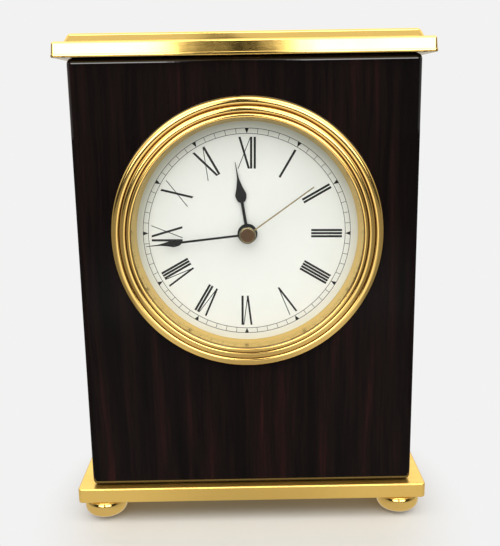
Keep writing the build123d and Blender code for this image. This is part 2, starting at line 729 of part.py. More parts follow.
def setting_knob():
    """Ribbed knob with a blind bore and a ring groove in its rear face."""
    ribs = 40
    points = []
    for k in range(ribs):
        for part, radius in ((0.0, 4.55), (0.35, 4.9), (0.65, 4.9), (0.999, 4.55)):
            angle = 2 * math.pi * (k + part) / ribs
            points.append((radius * math.cos(angle), radius * math.sin(angle)))
    groove = disc(3.6, 19.1, 20, SETTING) - disc(1.6, 19, 21, SETTING)
    return (layer(outline(points), 16.7, 19.6, SETTING)
            - disc(SETTING_R + FIT_GAP, 16, SETTING_END + 0.02, SETTING) - groove)


# ----- one file for each piece, named after its function -----
PIECES = [
    case_block, top_plate, base_plate, foot_pads, foot_screws, base_plate_screws,
    top_plate_screws, bezel, lens, lens_gasket, rehaut_ring, dial, insert_cup,
    friction_ring, bezel_screws, cup_screws, movement_front_case, movement_rear_case,
    middle_plate, gear_bridge, movement_screws, stator, coil_core, coil_bobbin,
    coil_winding, circuit_board, ic_chip, quartz_crystal, positive_contact,
    negative_contact, battery, hour_hand, minute_hand, second_hand, second_hand_cap,
    hour_wheel, cannon_pinion, centre_wheel, motion_wheel, third_wheel, seconds_arbor,
    seconds_wheel, intermediate_wheel, rotor_pinion, rotor_magnet, setting_shaft,
    setting_knob,
]


def save(name, shape):
    """Write a solid, or a list of separate solids that share one file."""
    shift = Pos(0, Y_SHIFT, 0)
    if isinstance(shape, list):
        shape = Compound(children=[shift * one for one in shape])
    else:
        shape = shift * shape
    export_step(shape, f"parts/{name}.step")


os.makedirs("parts", exist_ok=True)
for piece in PIECES:
    save(piece.__name__, piece())
for foot_name, (foot_x, foot_y) in FEET.items():
    save(foot_name, bun_foot(foot_x, foot_y))
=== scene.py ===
import json
import math

import bpy
import bmesh
import numpy as np
from mathutils import Matrix, Vector


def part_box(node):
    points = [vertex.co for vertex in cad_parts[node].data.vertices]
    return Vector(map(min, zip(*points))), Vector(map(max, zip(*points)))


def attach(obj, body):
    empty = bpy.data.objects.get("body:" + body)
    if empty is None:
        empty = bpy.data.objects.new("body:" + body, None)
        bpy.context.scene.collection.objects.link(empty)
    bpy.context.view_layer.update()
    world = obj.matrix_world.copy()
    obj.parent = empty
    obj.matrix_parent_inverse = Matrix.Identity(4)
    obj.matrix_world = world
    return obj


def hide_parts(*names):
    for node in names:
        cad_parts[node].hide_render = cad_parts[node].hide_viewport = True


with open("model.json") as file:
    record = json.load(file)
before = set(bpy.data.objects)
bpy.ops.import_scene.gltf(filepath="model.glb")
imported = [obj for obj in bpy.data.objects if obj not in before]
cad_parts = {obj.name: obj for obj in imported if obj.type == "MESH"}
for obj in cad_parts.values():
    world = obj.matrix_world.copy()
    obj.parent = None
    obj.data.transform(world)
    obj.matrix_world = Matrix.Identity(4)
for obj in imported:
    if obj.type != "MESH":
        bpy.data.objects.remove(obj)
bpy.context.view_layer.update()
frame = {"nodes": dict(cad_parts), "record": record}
nodes = frame["nodes"]
MM = 0.001

# ---------------------------------------------------------------------------
# where things are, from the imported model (millimetres)
# ---------------------------------------------------------------------------
blk_lo, blk_hi = [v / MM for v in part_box("case_block")]
bz_lo, bz_hi = [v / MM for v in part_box("bezel")]
tp_lo, tp_hi = [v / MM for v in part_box("top_plate")]
bp_lo, bp_hi = [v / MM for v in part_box("base_plate")]
dl_lo, dl_hi = [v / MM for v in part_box("dial")]
YF, YB = blk_lo.y, blk_hi.y
YM = (YF + YB) / 2
ZB, ZT = blk_lo.z, blk_hi.z
XC, ZC = (bz_lo.x + bz_hi.x) / 2, (bz_lo.z + bz_hi.z) / 2
DIAL_T = dl_lo.y - YF


# ---------------------------------------------------------------------------
# small expression language for node trees
# ---------------------------------------------------------------------------
class S:
    """A scalar or vector socket; arithmetic on it adds Math nodes."""

    def __init__(self, nt, sock):
        self.nt, self.s = nt, sock

    def _m(self, op, *others):
        n = self.nt.nodes.new("ShaderNodeMath")
        n.operation = op
        self.nt.links.new(self.s, n.inputs[0])
        for k, o in enumerate(others):
            if isinstance(o, S):
                self.nt.links.new(o.s, n.inputs[k + 1])
            else:
                n.inputs[k + 1].default_value = float(o)
        return S(self.nt, n.outputs[0])

    def __add__(self, o): return self._m("ADD", o)
    __radd__ = __add__
    def __sub__(self, o): return self._m("SUBTRACT", o)
    def __rsub__(self, o): return (self * -1.0) + o
    def __mul__(self, o): return self._m("MULTIPLY", o)
    __rmul__ = __mul__
    def __truediv__(self, o): return self._m("DIVIDE", o)
    def __pow__(self, o): return self._m("POWER", o)
    def abs(self): return self._m("ABSOLUTE")
    def sin(self): return self._m("SINE")
    def asin(self): return self._m("ARCSINE")
    def atan2(self, o): return self._m("ARCTAN2", o)
    def floor(self): return self._m("FLOOR")
    def frac(self): return self._m("FRACT")
    def max(self, o): return self._m("MAXIMUM", o)
    def min(self, o): return self._m("MINIMUM", o)
    def less(self, o): return self._m("LESS_THAN", o)

    def step(self, a, b):
        """Smooth 0 to 1 as the value goes from a to b (b may be below a)."""
        n = self.nt.nodes.new("ShaderNodeMapRange")
        n.interpolation_type = "SMOOTHSTEP"
        self.nt.links.new(self.s, n.inputs["Value"])
        lo, hi, flip = (a, b, False) if a < b else (b, a, True)
        n.inputs["From Min"].default_value = lo
        n.inputs["From Max"].default_value = hi
        n.inputs["To Min"].default_value = 1.0 if flip else 0.0
        n.inputs["To Max"].default_value = 0.0 if flip else 1.0
        return S(self.nt, n.outputs["Result"])


class Tree:
    """Shader tree with shortcuts for the nodes used here."""

    def __init__(self, nt):
        self.nt = nt
        nt.nodes.clear()

    def new(self, kind, **props):
        n = self.nt.nodes.new("ShaderNode" + kind)
        for k, v in props.items():
            setattr(n, k, v)
        return n

    def link(self, a, b):
        self.nt.links.new(a.s if isinstance(a, S) else a, b)

    def coord(self, which="Object"):
        n = self.new("TexCoord")
        return S(self.nt, n.outputs[which])

    def xyz(self, v):
        n = self.new("SeparateXYZ")
        self.link(v, n.inputs[0])
        return [S(self.nt, n.outputs[k]) for k in range(3)]

    def vec(self, x, y, z):
        n = self.new("CombineXYZ")
        for k, v in enumerate((x, y, z)):
            if isinstance(v, S):
                self.link(v, n.inputs[k])
            else:
                n.inputs[k].default_value = v
        return S(self.nt, n.outputs[0])

    def scaled(self, v, x, y, z):
        n = self.new("VectorMath", operation="MULTIPLY")
        self.link(v, n.inputs[0])
        n.inputs[1].default_value = (x, y, z)
        return S(self.nt, n.outputs[0])

    def noise(self, v, scale=1.0, detail=2.0, rough=0.5, dist=0.0):
        n = self.new("TexNoise", noise_dimensions="3D")
        self.link(v, n.inputs["Vector"])
        n.inputs["Scale"].default_value = scale
        n.inputs["Detail"].default_value = detail
        n.inputs["Roughness"].default_value = rough
        n.inputs["Distortion"].default_value = dist
        return S(self.nt, n.outputs["Fac"])

    def noise1(self, w, scale=1.0, detail=1.0):
        n = self.new("TexNoise", noise_dimensions="1D")
        self.link(w, n.inputs["W"])
        n.inputs["Scale"].default_value = scale
        n.inputs["Detail"].default_value = detail
        return S(self.nt, n.outputs["Fac"])

    def ramp(self, fac, *stops):
        n = self.new("ValToRGB")
        cr = n.color_ramp
        while len(cr.elements) > 1:
            cr.elements.remove(cr.elements[-1])
        for k, (p, c) in enumerate(stops):
            e = cr.elements[0] if k == 0 else cr.elements.new(p)
            e.position = p
            e.color = (*c, 1.0)
        self.link(fac, n.inputs[0])
        return n.outputs[0]

    def mixcol(self, fac, a, b, mode="MIX"):
        n = self.new("Mix", data_type="RGBA", blend_type=mode)
        for sock, v in ((n.inputs[0], fac), (n.inputs[6], a), (n.inputs[7], b)):
            if isinstance(v, S):
                self.link(v, sock)
            elif hasattr(v, "links") or hasattr(v, "is_output"):
                self.nt.links.new(v, sock)
            elif isinstance(v, (tuple, list)):
                sock.default_value = (*v, 1.0) if len(v) == 3 else v
            else:
                sock.default_value = v
        return n.outputs[2]

    def bump(self, height, strength, dist, normal=None):
        n = self.new("Bump")
        n.inputs["Strength"].default_value = strength
        n.inputs["Distance"].default_value = dist
        self.link(height, n.inputs["Height"])
        if normal is not None:
            self.nt.links.new(normal, n.inputs["Normal"])
        return n.outputs[0]

    def principled(self, **kw):
        n = self.new("BsdfPrincipled")
        for k, v in kw.items():
            name = {"base": "Base Color", "metallic": "Metallic", "rough": "Roughness", "ior": "IOR", "spec": "Specular IOR Level",
                    "coat": "Coat Weight", "coat_rough": "Coat Roughness", "coat_ior": "Coat IOR", "normal": "Normal",
                    "coat_normal": "Coat Normal", "sheen": "Sheen Weight", "aniso": "Anisotropic", "tangent": "Tangent",
                    "sss": "Subsurface Weight", "coat_tint": "Coat Tint", "spec_tint": "Specular Tint"}[k]
            sock = n.inputs[name]
            if isinstance(v, S):
                self.link(v, sock)
            elif hasattr(v, "is_output"):
                self.nt.links.new(v, sock)
            elif isinstance(v, (tuple, list)):
                sock.default_value = (*v, 1.0)
            else:
                sock.default_value = v
        return n.outputs[0]

    def out(self, shader):
        n = self.nt.nodes.new("ShaderNodeOutputMaterial")
        self.nt.links.new(shader, n.inputs["Surface"])


def material(name):
    m = bpy.data.materials.new(name)
    m.use_nodes = True
    return m, Tree(m.node_tree)


def grey(v):
    return (v, v, v)


# ---------------------------------------------------------------------------
# materials
# ---------------------------------------------------------------------------
MAT = {}


def make_lacquer():
    m, t = material("lacquered_wood")
    p = t.coord()
    warp = t.noise(t.scaled(p, 30, 30, 9), 1.0, 2.0)
    x, y, z = t.xyz(p)
    wp = t.vec(x + (warp - 0.5) * 0.006, y + (warp - 0.5) * 0.004, z)
    streak = t.noise(t.scaled(wp, 190, 120, 9), 1.0, 4.0, 0.62)          # broad figure along the grain
    fine = t.noise(t.scaled(wp, 1500, 900, 45), 1.0, 3.0, 0.6)           # pores
    fleck = t.noise(t.scaled(wp, 620, 500, 60), 1.0, 2.0, 0.5)
    mix = streak * 0.62 + fine * 0.25 + fleck * 0.13
    col = t.ramp(mix, (0.40, (0.0030, 0.0022, 0.0021)), (0.54, (0.0062, 0.0036, 0.0033)),
                 (0.62, (0.0125, 0.0046, 0.0042)), (0.76, (0.026, 0.0068, 0.0062)))
    peel = t.noise(p, 260.0, 2.0, 0.5)
    cn = t.bump(peel, 0.05, 0.00035)
    smear = t.noise(t.scaled(p, 45, 45, 30), 1.0, 3.0, 0.6)
    t.out(t.principled(base=col, rough=0.6, spec=0.0, coat=1.0, coat_rough=smear * 0.03 + 0.010, coat_ior=1.6, coat_normal=cn))
    return m


def brass(name, base, dark, rough, lines, scale=(6, 700, 2400), tarnish=0.5):
    """Polished sheet brass: fine straight polishing lines, faint stains."""
    m, t = material(name)
    p = t.coord()
    sx, sy, sz = scale
    line = t.noise(t.scaled(p, sx, sy, sz), 1.0, 3.0, 0.6)
    cloud = t.noise(p, 55.0, 4.0, 0.6)
    spot = t.noise(p, 900.0, 2.0, 0.5)
    fac = (cloud * 0.7 + line * 0.3).step(0.42, 0.66) * tarnish
    col = t.mixcol(fac, base, dark)
    r = cloud.step(0.35, 0.7) * 0.05 + line * 0.06 + (rough - 0.05)
    nrm = t.bump(line * 0.8 + spot * 0.2, lines, 0.00004)
    t.out(t.principled(base=col, metallic=1.0, rough=r, normal=nrm, spec_tint=(1.0, 0.97, 0.88)))
    return m


def turned_brass(name, base, dark, rough, lines, crevices=()):
    """Lathe-turned and polished: lines run round the dial axis."""
    m, t = material(name)
    p = t.coord()
    x, y, z = t.xyz(p)
    dx, dz = x - XC * MM, z - ZC * MM
    r = (dx * dx + dz * dz) ** 0.5
    ring = t.noise1(r * 1000.0 + y * 700.0, 9.0, 3.0)
    cloud = t.noise(p, 70.0, 4.0, 0.6)
    spot = t.noise(p, 1400.0, 2.0, 0.5)
    fac = (cloud * 0.75 + ring * 0.25).step(0.42, 0.68) * 0.6
    col = t.mixcol(fac, base, dark)
    rr = cloud.step(0.35, 0.7) * 0.035 + ring * 0.05 + (rough - 0.04)
    # crevices: painted shade with some grime, dark brown with a rougher finish in the grooves between the bezel beads
    if crevices:
        groove_shade_and_grime = None
        for rc, half in crevices:
            one = (r * 1000.0 - rc).abs().step(half, half * 0.25)
            groove_shade_and_grime = one if groove_shade_and_grime is None else groove_shade_and_grime.max(one)
        groove_shade_and_grime = groove_shade_and_grime * (cloud * 0.4 + 0.75).min(1.0)
        col = t.mixcol(groove_shade_and_grime, col, (0.26, 0.135, 0.045))
        rr = rr + groove_shade_and_grime * 0.16
    nrm = t.bump(ring * 0.75 + spot * 0.25, lines, 0.00003)
    t.out(t.principled(base=col, metallic=1.0, rough=rr, normal=nrm, spec_tint=(1.0, 0.97, 0.88)))
    return m


def make_glass():
    m, t = material("clear_glass")
    p = t.coord()
    fr = t.new("Fresnel")
    fr.inputs["IOR"].default_value = 1.45
    gl = t.new("BsdfGlossy")
    gl.inputs["Roughness"].default_value = 0.02
    dust = t.noise(p, 2600.0, 1.0, 0.5).step(0.68, 0.8) * 0.012
    t.link(t.noise(p, 60.0, 3.0, 0.6) * 0.03 + 0.006, gl.inputs["Roughness"])
    tr = t.new("BsdfTransparent")
    tr.inputs["Color"].default_value = (0.990, 0.995, 0.990, 1)
    mx = t.new("MixShader")
    f = S(t.nt, fr.outputs[0])
    t.link(f * 0.6 + dust, mx.inputs[0])
    t.link(tr.outputs[0], mx.inputs[1])
    t.link(gl.outputs[0], mx.inputs[2])
    t.out(mx.outputs[0])
    return m


def make_dial():
    m, t = material("dial_white")
    p = t.coord()
    mott = t.noise(p, 40.0, 4.0, 0.6)
    fine = t.noise(p, 2500.0, 2.0, 0.5)
    col = t.ramp(mott * 0.8 + fine * 0.2, (0.35, (0.885, 0.900, 0.875)), (0.65, (0.915, 0.925, 0.900)))
    x, y, z = t.xyz(p)
    dx, dz = x * 1000.0 - XC, z * 1000.0 - ZC
    r = (dx * dx + dz * dz) ** 0.5
    # painted shade: the dial is darkened grey-green towards its rim, where the bezel and cone would shadow it, and more
    # strongly towards the top-left
    up = (dz - dx * 0.35).step(-26.0, 30.0)
    painted_bezel_shade = r.step(31.5, 37.5) * (up * 0.42 + 0.20)
    col = t.mixcol(painted_bezel_shade, col, (0.30, 0.345, 0.285))
    t.out(t.principled(base=col, rough=fine * 0.1 + 0.4, spec=0.2, normal=t.bump(fine, 0.08, 0.00002)))
    return m


def simple(name, base, var, rough, scale=400.0, bump=0.15, dist=0.00006, metallic=0.0, stretch=(1, 1, 1), coat=0.0, spec=0.5, rvar=0.12):
    """Base colour drifting between two shades with fine surface texture."""
    m, t = material(name)
    p = t.coord()
    q = t.scaled(p, *stretch)
    big = t.noise(p, 60.0, 3.0, 0.6)
    fine = t.noise(q, scale, 3.0, 0.55)
    col = t.mixcol((big * 0.6 + fine * 0.4).step(0.35, 0.65), base, var)
    t.out(t.principled(base=col, metallic=metallic, rough=fine * rvar + (rough - rvar / 2), normal=t.bump(fine, bump, dist), coat=coat, spec=spec))
    return m


GOLD = (0.86, 0.56, 0.165)
MAT["lacquered_wood"] = make_lacquer()
MAT["polished_brass"] = brass("polished_brass", (0.85, 0.575, 0.165), (0.79, 0.51, 0.14), 0.085, 0.07, tarnish=0.35)
MAT["base_brass"] = brass("base_brass", (0.86, 0.570, 0.152), (0.79, 0.49, 0.125), 0.36, 0.22)
MAT["foot_brass"] = brass("foot_brass", (0.84, 0.55, 0.155), (0.76, 0.46, 0.115), 0.09, 0.05, scale=(300, 300, 2600))
MAT["gilt_brass"] = turned_brass("gilt_brass", (0.88, 0.585, 0.178), (0.81, 0.50, 0.135), 0.10, 0.10, crevices=((42.35, 0.42), (39.95, 0.42), (38.3, 0.30)))
MAT["cone_brass"] = turned_brass("cone_brass", (0.91, 0.66, 0.25), (0.85, 0.57, 0.19), 0.24, 0.12)
MAT["clear_glass"] = make_glass()
MAT["dial_white"] = make_dial()
MAT["print_black"] = simple("print_black", (0.006, 0.007, 0.006), (0.011, 0.012, 0.011), 0.60, 1500.0, 0.08, 0.00001, spec=0.06)
MAT["hand_black"] = simple("hand_black", (0.005, 0.0055, 0.005), (0.008, 0.009, 0.008), 0.45, 1800.0, 0.10, 0.00002, spec=0.10)
MAT["hand_brass"] = simple("hand_brass", (0.36, 0.29, 0.16), (0.28, 0.22, 0.115), 0.30, 900.0, 0.08, 0.00002, metallic=1.0)
MAT["cap_face"] = simple("cap_face", (0.105, 0.052, 0.018), (0.080, 0.036, 0.012), 0.42, 1200.0, 0.06, 0.00002, spec=0.15)
MAT["cap_rim"] = simple("cap_rim", (0.30, 0.245, 0.13), (0.20, 0.16, 0.08), 0.26, 1200.0, 0.06, 0.00002, metallic=1.0)
MAT["black_plastic"] = simple("black_plastic", (0.022, 0.022, 0.023), (0.030, 0.030, 0.032), 0.52, 1300.0, 0.35, 0.00008)
MAT["grey_plastic"] = simple("grey_plastic", (0.075, 0.076, 0.080), (0.095, 0.096, 0.100), 0.50, 1300.0, 0.35, 0.00008)
MAT["gear_white"] = simple("gear_white", (0.78, 0.77, 0.71), (0.72, 0.70, 0.63), 0.42, 900.0, 0.10, 0.00003)
MAT["gear_green"] = simple("gear_green", (0.09, 0.27, 0.17), (0.07, 0.22, 0.14), 0.42, 900.0, 0.10, 0.00003)
MAT["steel"] = simple("steel", (0.56, 0.56, 0.55), (0.46, 0.47, 0.47), 0.30, 700.0, 0.18, 0.00003, metallic=1.0)
MAT["soft_iron"] = simple("soft_iron", (0.36, 0.36, 0.36), (0.28, 0.28, 0.29), 0.42, 800.0, 0.2, 0.00004, metallic=1.0)
MAT["copper_wire"] = simple("copper_wire", (0.62, 0.23, 0.09), (0.48, 0.16, 0.06), 0.28, 160.0, 0.8, 0.00012, metallic=1.0, stretch=(60, 1, 1))
MAT["magnet"] = simple("magnet", (0.06, 0.06, 0.065), (0.045, 0.045, 0.05), 0.5, 700.0, 0.3, 0.00005, metallic=0.6)
MAT["board"] = simple("board", (0.030, 0.150, 0.070), (0.022, 0.110, 0.052), 0.30, 500.0, 0.2, 0.00005, coat=0.5)
MAT["chip"] = simple("chip", (0.010, 0.010, 0.010), (0.015, 0.015, 0.015), 0.32, 500.0, 0.2, 0.00005)
MAT["crystal_can"] = simple("crystal_can", (0.66, 0.66, 0.68), (0.56, 0.56, 0.58), 0.18, 600.0, 0.1, 0.00002, metallic=1.0)
MAT["contact_metal"] = simple("contact_metal", (0.62, 0.61, 0.57), (0.50, 0.49, 0.46), 0.28, 500.0, 0.15, 0.00003, metallic=1.0, stretch=(6, 1, 1))
MAT["felt"] = simple("felt", (0.016, 0.036, 0.020), (0.026, 0.052, 0.030), 0.95, 1500.0, 1.0, 0.0003, spec=0.1)
MAT["rubber"] = simple("rubber", (0.020, 0.020, 0.020), (0.028, 0.028, 0.028), 0.68, 700.0, 0.3, 0.00006)
MAT["gasket"] = simple("gasket", (0.42, 0.42, 0.38), (0.36, 0.36, 0.33), 0.55, 700.0, 0.2, 0.00004)


def make_battery():
    """Plain sleeve: dark body, copper-coloured band at the positive end, no lettering."""
    m, t = material("battery_jacket")
    p = t.coord()
    x, y, z = t.xyz(p)
    lo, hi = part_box("battery")
    u = (x - lo.x) / (hi.x - lo.x)
    wear = t.noise(p, 400.0, 4.0, 0.6)
    band = u.step(0.735, 0.74)
    line = u.step(0.722, 0.724) * u.step(0.737, 0.735)
    body = t.mixcol(wear.step(0.4, 0.7), (0.012, 0.016, 0.030), (0.018, 0.023, 0.040))
    copper = t.mixcol(wear.step(0.4, 0.7), (0.52, 0.24, 0.10), (0.46, 0.20, 0.08))
    c1 = t.mixcol(band, body, copper)
    c2 = t.mixcol(line, c1, (0.62, 0.60, 0.55))
    t.out(t.principled(base=c2, metallic=band * 0.55 + 0.15, rough=wear * 0.1 + 0.22, coat=0.5, coat_rough=0.08,
                       normal=t.bump(wear, 0.05, 0.00003)))
    return m


MAT["battery_jacket"] = make_battery()


def make_raw_wood():
    """Bored wood, sealed but not lacquered: brown end grain with turning marks."""
    m, t = material("raw_wood")
    p = t.coord()
    ray = t.noise(t.scaled(p, 160, 160, 700), 1.0, 4.0, 0.6)
    pore = t.noise(t.scaled(p, 900, 2600, 900), 1.0, 3.0, 0.6)
    x, y, z = t.xyz(p)
    turning = t.noise1(y * 1000.0, 5.0, 2.0)
    col = t.ramp(ray * 0.6 + pore * 0.4, (0.35, (0.060, 0.030, 0.017)), (0.52, (0.115, 0.060, 0.032)), (0.68, (0.185, 0.105, 0.058)))
    t.out(t.principled(base=col, rough=pore * 0.15 + 0.65, spec=0.25, normal=t.bump(pore * 0.5 + turning * 0.5, 0.35, 0.00012)))
    return m


MAT["raw_wood"] = make_raw_wood()


# ---------------------------------------------------------------------------
# mesh building
# ---------------------------------------------------------------------------
def ring_circle(n):
    a = np.arange(n) * 2 * math.pi / n
    return np.zeros((n, 2)), np.stack([np.cos(a), np.sin(a)], 1)


def ring_rect(hx, hy, rc, n=10):
    cs, ds = [], []
    for qx, qy, a0 in ((1, 1, 0), (-1, 1, 90), (-1, -1, 180), (1, -1, 270)):
        for k in range(n + 1):
            a = math.radians(a0 + 90.0 * k / n)
            cs.append((qx * (hx - rc), qy * (hy - rc)))
            ds.append((math.cos(a), math.sin(a)))
    return np.array(cs), np.array(ds)


AXES = {
    "Z": np.array([[1, 0, 0], [0, 1, 0], [0, 0, 1]], float),
    "Y": np.array([[1, 0, 0], [0, 0, 1], [0, -1, 0]], float),
    "X": np.array([[0, 0, 1], [1, 0, 0], [0, 1, 0]], float),
}


def sweep(ring, prof, closed=False, caps=True, sharp=32.0):
    """Closed mesh from a (rho, h) outline carried round a ring: vertices, faces and
    one normal for each face corner. Open outlines are capped flat."""
    C, D = ring
    K = len(D)
    P = [tuple(map(float, p[:2])) for p in prof]
    loop = P + ([] if closed else [(0.0, P[-1][1]), (0.0, P[0][1])])
    area = sum(a[0] * b[1] - b[0] * a[1] for a, b in zip(loop, loop[1:] + loop[:1]))
    if area < 0:
        P = P[::-1]
    n = len(P)
    segs = [(i, (i + 1) % n) for i in range(n if closed else n - 1)]
    sn, sl = [], []
    for i, j in segs:
        dx, dy = P[j][0] - P[i][0], P[j][1] - P[i][1]
        L = math.hypot(dx, dy) or 1e-9
        sn.append((dy / L, -dx / L))
        sl.append(L)
    start, end = {}, {}
    for q, (i, j) in enumerate(segs):
        prev = q - 1 if (closed or q > 0) else None
        nxt = (q + 1) % len(segs) if (closed or q + 1 < len(segs)) else None
        for store, o in ((start, prev), (end, nxt)):
            v = sn[q]
            if o is not None:
                dot = sn[q][0] * sn[o][0] + sn[q][1] * sn[o][1]
                if dot > math.cos(math.radians(sharp)):
                    a = (sn[q][0] * sl[q] + sn[o][0] * sl[o], sn[q][1] * sl[q] + sn[o][1] * sl[o])
                    L = math.hypot(*a) or 1e-9
                    v = (a[0] / L, a[1] / L)
            store[q] = v
    round_ring = not np.any(C)
    verts, index = [], []
    for r, h in P:
        if round_ring and r < 1e-6:
            index.append([len(verts)] * K)
            verts.append((0.0, 0.0, h))
        else:
            index.append(list(range(len(verts), len(verts) + K)))
            for k in range(K):
                verts.append((C[k][0] + D[k][0] * r, C[k][1] + D[k][1] * r, h))
    faces, norms = [], []
    for q, (i, j) in enumerate(segs):
        a, b = start[q], end[q]
        pole_i, pole_j = index[i][0] == index[i][1], index[j][0] == index[j][1]
        for k in range(K):
            m = (k + 1) % K
            f = [(index[i][k], a, k), (index[i][m], a, m), (index[j][m], b, m), (index[j][k], b, k)]
            if pole_i and pole_j:
                continue
            if pole_i:
                f = [f[0], f[2], f[3]]
            elif pole_j:
                f = [f[0], f[1], f[2]]
            faces.append([g[0] for g in f])
            for vi, nn, kk in f:
                if (pole_i and vi == index[i][0]) or (pole_j and vi == index[j][0]):
                    norms.append((0.0, 0.0, math.copysign(1, nn[1])) if abs(nn[1]) > 0.7 else (D[kk][0] * nn[0], D[kk][1] * nn[0], nn[1]))
                else:
                    norms.append((D[kk][0] * nn[0], D[kk][1] * nn[0], nn[1]))
    if not closed and caps:
        if index[0][0] != index[0][1]:
            faces.append(list(reversed(index[0])))
            norms += [(0, 0, -1.0)] * K
        if index[-1][0] != index[-1][1]:
            faces.append(list(index[-1]))
            norms += [(0, 0, 1.0)] * K
    return np.array(verts, float), faces, np.array(norms, float)


def place(shape, axis="Z", at=(0, 0, 0)):
    """Turn a canonical mesh (axis up Z) so that its axis runs along X, Y or Z, then move it."""
    v, f, n = shape
    A = AXES[axis]
    return v @ A.T + np.array(at, float), f, n @ A.T


def join(*shapes):
    vs, fs, ns, off = [], [], [], 0
    for v, f, n in shapes:
        vs.append(v)
        fs += [[i + off for i in face] for face in f]
        ns.append(n)
        off += len(v)
    return np.concatenate(vs), fs, np.concatenate(ns)


def add(name, shape, mat, body, slot, *stands_for, face_mat=None):
    """Mesh object from a shape in millimetres, riding on a body."""
    v, f, n = shape
    me = bpy.data.meshes.new(name)
    me.from_pydata((v * MM).tolist(), [], f)
    me.update()
    me.shade_smooth()
    n = n / np.maximum(np.linalg.norm(n, axis=1, keepdims=True), 1e-9)
    me.normals_split_custom_set(n.tolist())
    mats = mat if isinstance(mat, (list, tuple)) else [mat]
    for one in mats:
        me.materials.append(MAT[one])
    if face_mat is not None:
        me.polygons.foreach_set("material_index", np.array(face_mat, np.int32))
    ob = bpy.data.objects.new(name, me)
    bpy.context.scene.collection.objects.link(ob)
    if stands_for:
        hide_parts(*stands_for)
    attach(ob, body)
    return ob


def turned(prof, t_axis=True, segs=256, closed=True, sharp=32.0, u=0.0, v=0.0):
    """Shape turned about the dial axis from (r, t): t is depth behind the block's front."""
    return place(sweep(ring_circle(segs), prof, closed=closed, sharp=sharp), "Y", (XC + u, YF, ZC + v))


def arc(p0, p1, bulge, n=14):
    """Points from p0 to p1 on a circular arc, ends left out; bulge to the left."""
    dx, dy = p1[0] - p0[0], p1[1] - p0[1]
    L = math.hypot(dx, dy)
    R = (L * L / 4 + bulge * bulge) / (2 * bulge)
    nx, ny = -dy / L, dx / L
    cx, cy = (p0[0] + p1[0]) / 2 + nx * (bulge - R), (p0[1] + p1[1]) / 2 + ny * (bulge - R)
    a0, a1 = math.atan2(p0[1] - cy, p0[0] - cx), math.atan2(p1[1] - cy, p1[0] - cx)
    d = (a1 - a0 + math.pi) % (2 * math.pi) - math.pi
    return [(cx + abs(R) * math.cos(a0 + d * k / n), cy + abs(R) * math.sin(a0 + d * k / n)) for k in range(1, n)]


def corner(p, a_in, a_out, r, n=6):
    """Rounded corner: points on a fillet of radius r at p between two directions (radians)."""
    ux, uy = math.cos(a_in), math.sin(a_in)
    wx, wy = math.cos(a_out), math.sin(a_out)
    turn = (a_out - a_in + math.pi) % (2 * math.pi) - math.pi
    d = r * math.tan(abs(turn) / 2)
    s = 1 if turn > 0 else -1
    sx, sy = p[0] - ux * d, p[1] - uy * d
    cx, cy = sx - uy * r * s, sy + ux * r * s
    out = []
    for k in range(n + 1):
        a = a_in - s * math.pi / 2 + turn * k / n
        out.append((cx + r * math.cos(a), cy + r * math.sin(a)))
    return out


def rounded(poly, radii, n=6):
    """Closed polygon with each corner rounded by its own radius (0 keeps it sharp)."""
    out = []
    m = len(poly)
    for i, p in enumerate(poly):
        r = radii[i] if isinstance(radii, (list, tuple)) else radii
        a, b = poly[i - 1], poly[(i + 1) % m]
        if r <= 0:
            out.append(p)
            continue
        out += corner(p, math.atan2(p[1] - a[1], p[0] - a[0]), math.atan2(b[1] - p[1], b[0] - p[0]), r, n)
    return out


def prism(outline, t0, t1, bev=0.0, inner=None):
    """Flat piece facing the reader: outline in (u, v), between two depths, with a small
    chamfer towards the reader when the inset outline is given."""
    o = [tuple(p) for p in outline]
    area = sum(a[0] * b[1] - b[0] * a[1] for a, b in zip(o, o[1:] + o[:1]))
    q = [tuple(p) for p in (inner if inner is not None else outline)]
    if area < 0:
        o, q = o[::-1], q[::-1]
    n = len(o)
    layers = [(q, t0)] + ([(o, t0 + bev)] if inner is not None else []) + [(o, t1)]
    verts = []
    for pts, t in layers:
        verts += [(XC + a, YF + t, ZC + b) for a, b in pts]
    verts = np.array(verts, float)
    faces = [list(range(n)), list(reversed(range(n * (len(layers) - 1), n * len(layers))))]
    norms = [(0, -1, 0)] * n + [(0, 1, 0)] * n
    for L in range(len(layers) - 1):
        for k in range(n):
            m = (k + 1) % n
            f = [L * n + k, (L + 1) * n + k, (L + 1) * n + m, L * n + m]
            p = [verts[i] for i in f]
            nn = np.cross(p[1] - p[0], p[3] - p[0])
            if np.linalg.norm(nn) < 1e-9:
                nn = np.cross(p[2] - p[1], p[3] - p[2])
            nn = nn / max(np.linalg.norm(nn), 1e-9)
            faces.append(f)
            norms += [tuple(nn)] * 4
    return verts, faces, np.array(norms, float)


def boolean(ob, cutters, solver="EXACT"):
    """Cut temporary meshes out of ob and keep the result as ob's mesh."""
    for c in cutters:
        md = ob.modifiers.new("cut", "BOOLEAN")
        md.operation, md.solver, md.object = "DIFFERENCE", solver, c
    bpy.context.view_layer.update()
    dg = bpy.context.evaluated_depsgraph_get()
    me = bpy.data.meshes.new_from_object(ob.evaluated_get(dg))
    ob.modifiers.clear()
    ob.data = me
    for c in cutters:
        bpy.data.objects.remove(c)
    return ob


def temp(shape):
    v, f, n = shape
    me = bpy.data.meshes.new("cutter")
    me.from_pydata((v * MM).tolist(), [], f)
    me.update()
    ob = bpy.data.objects.new("cutter", me)
    bpy.context.scene.collection.objects.link(ob)
    return ob


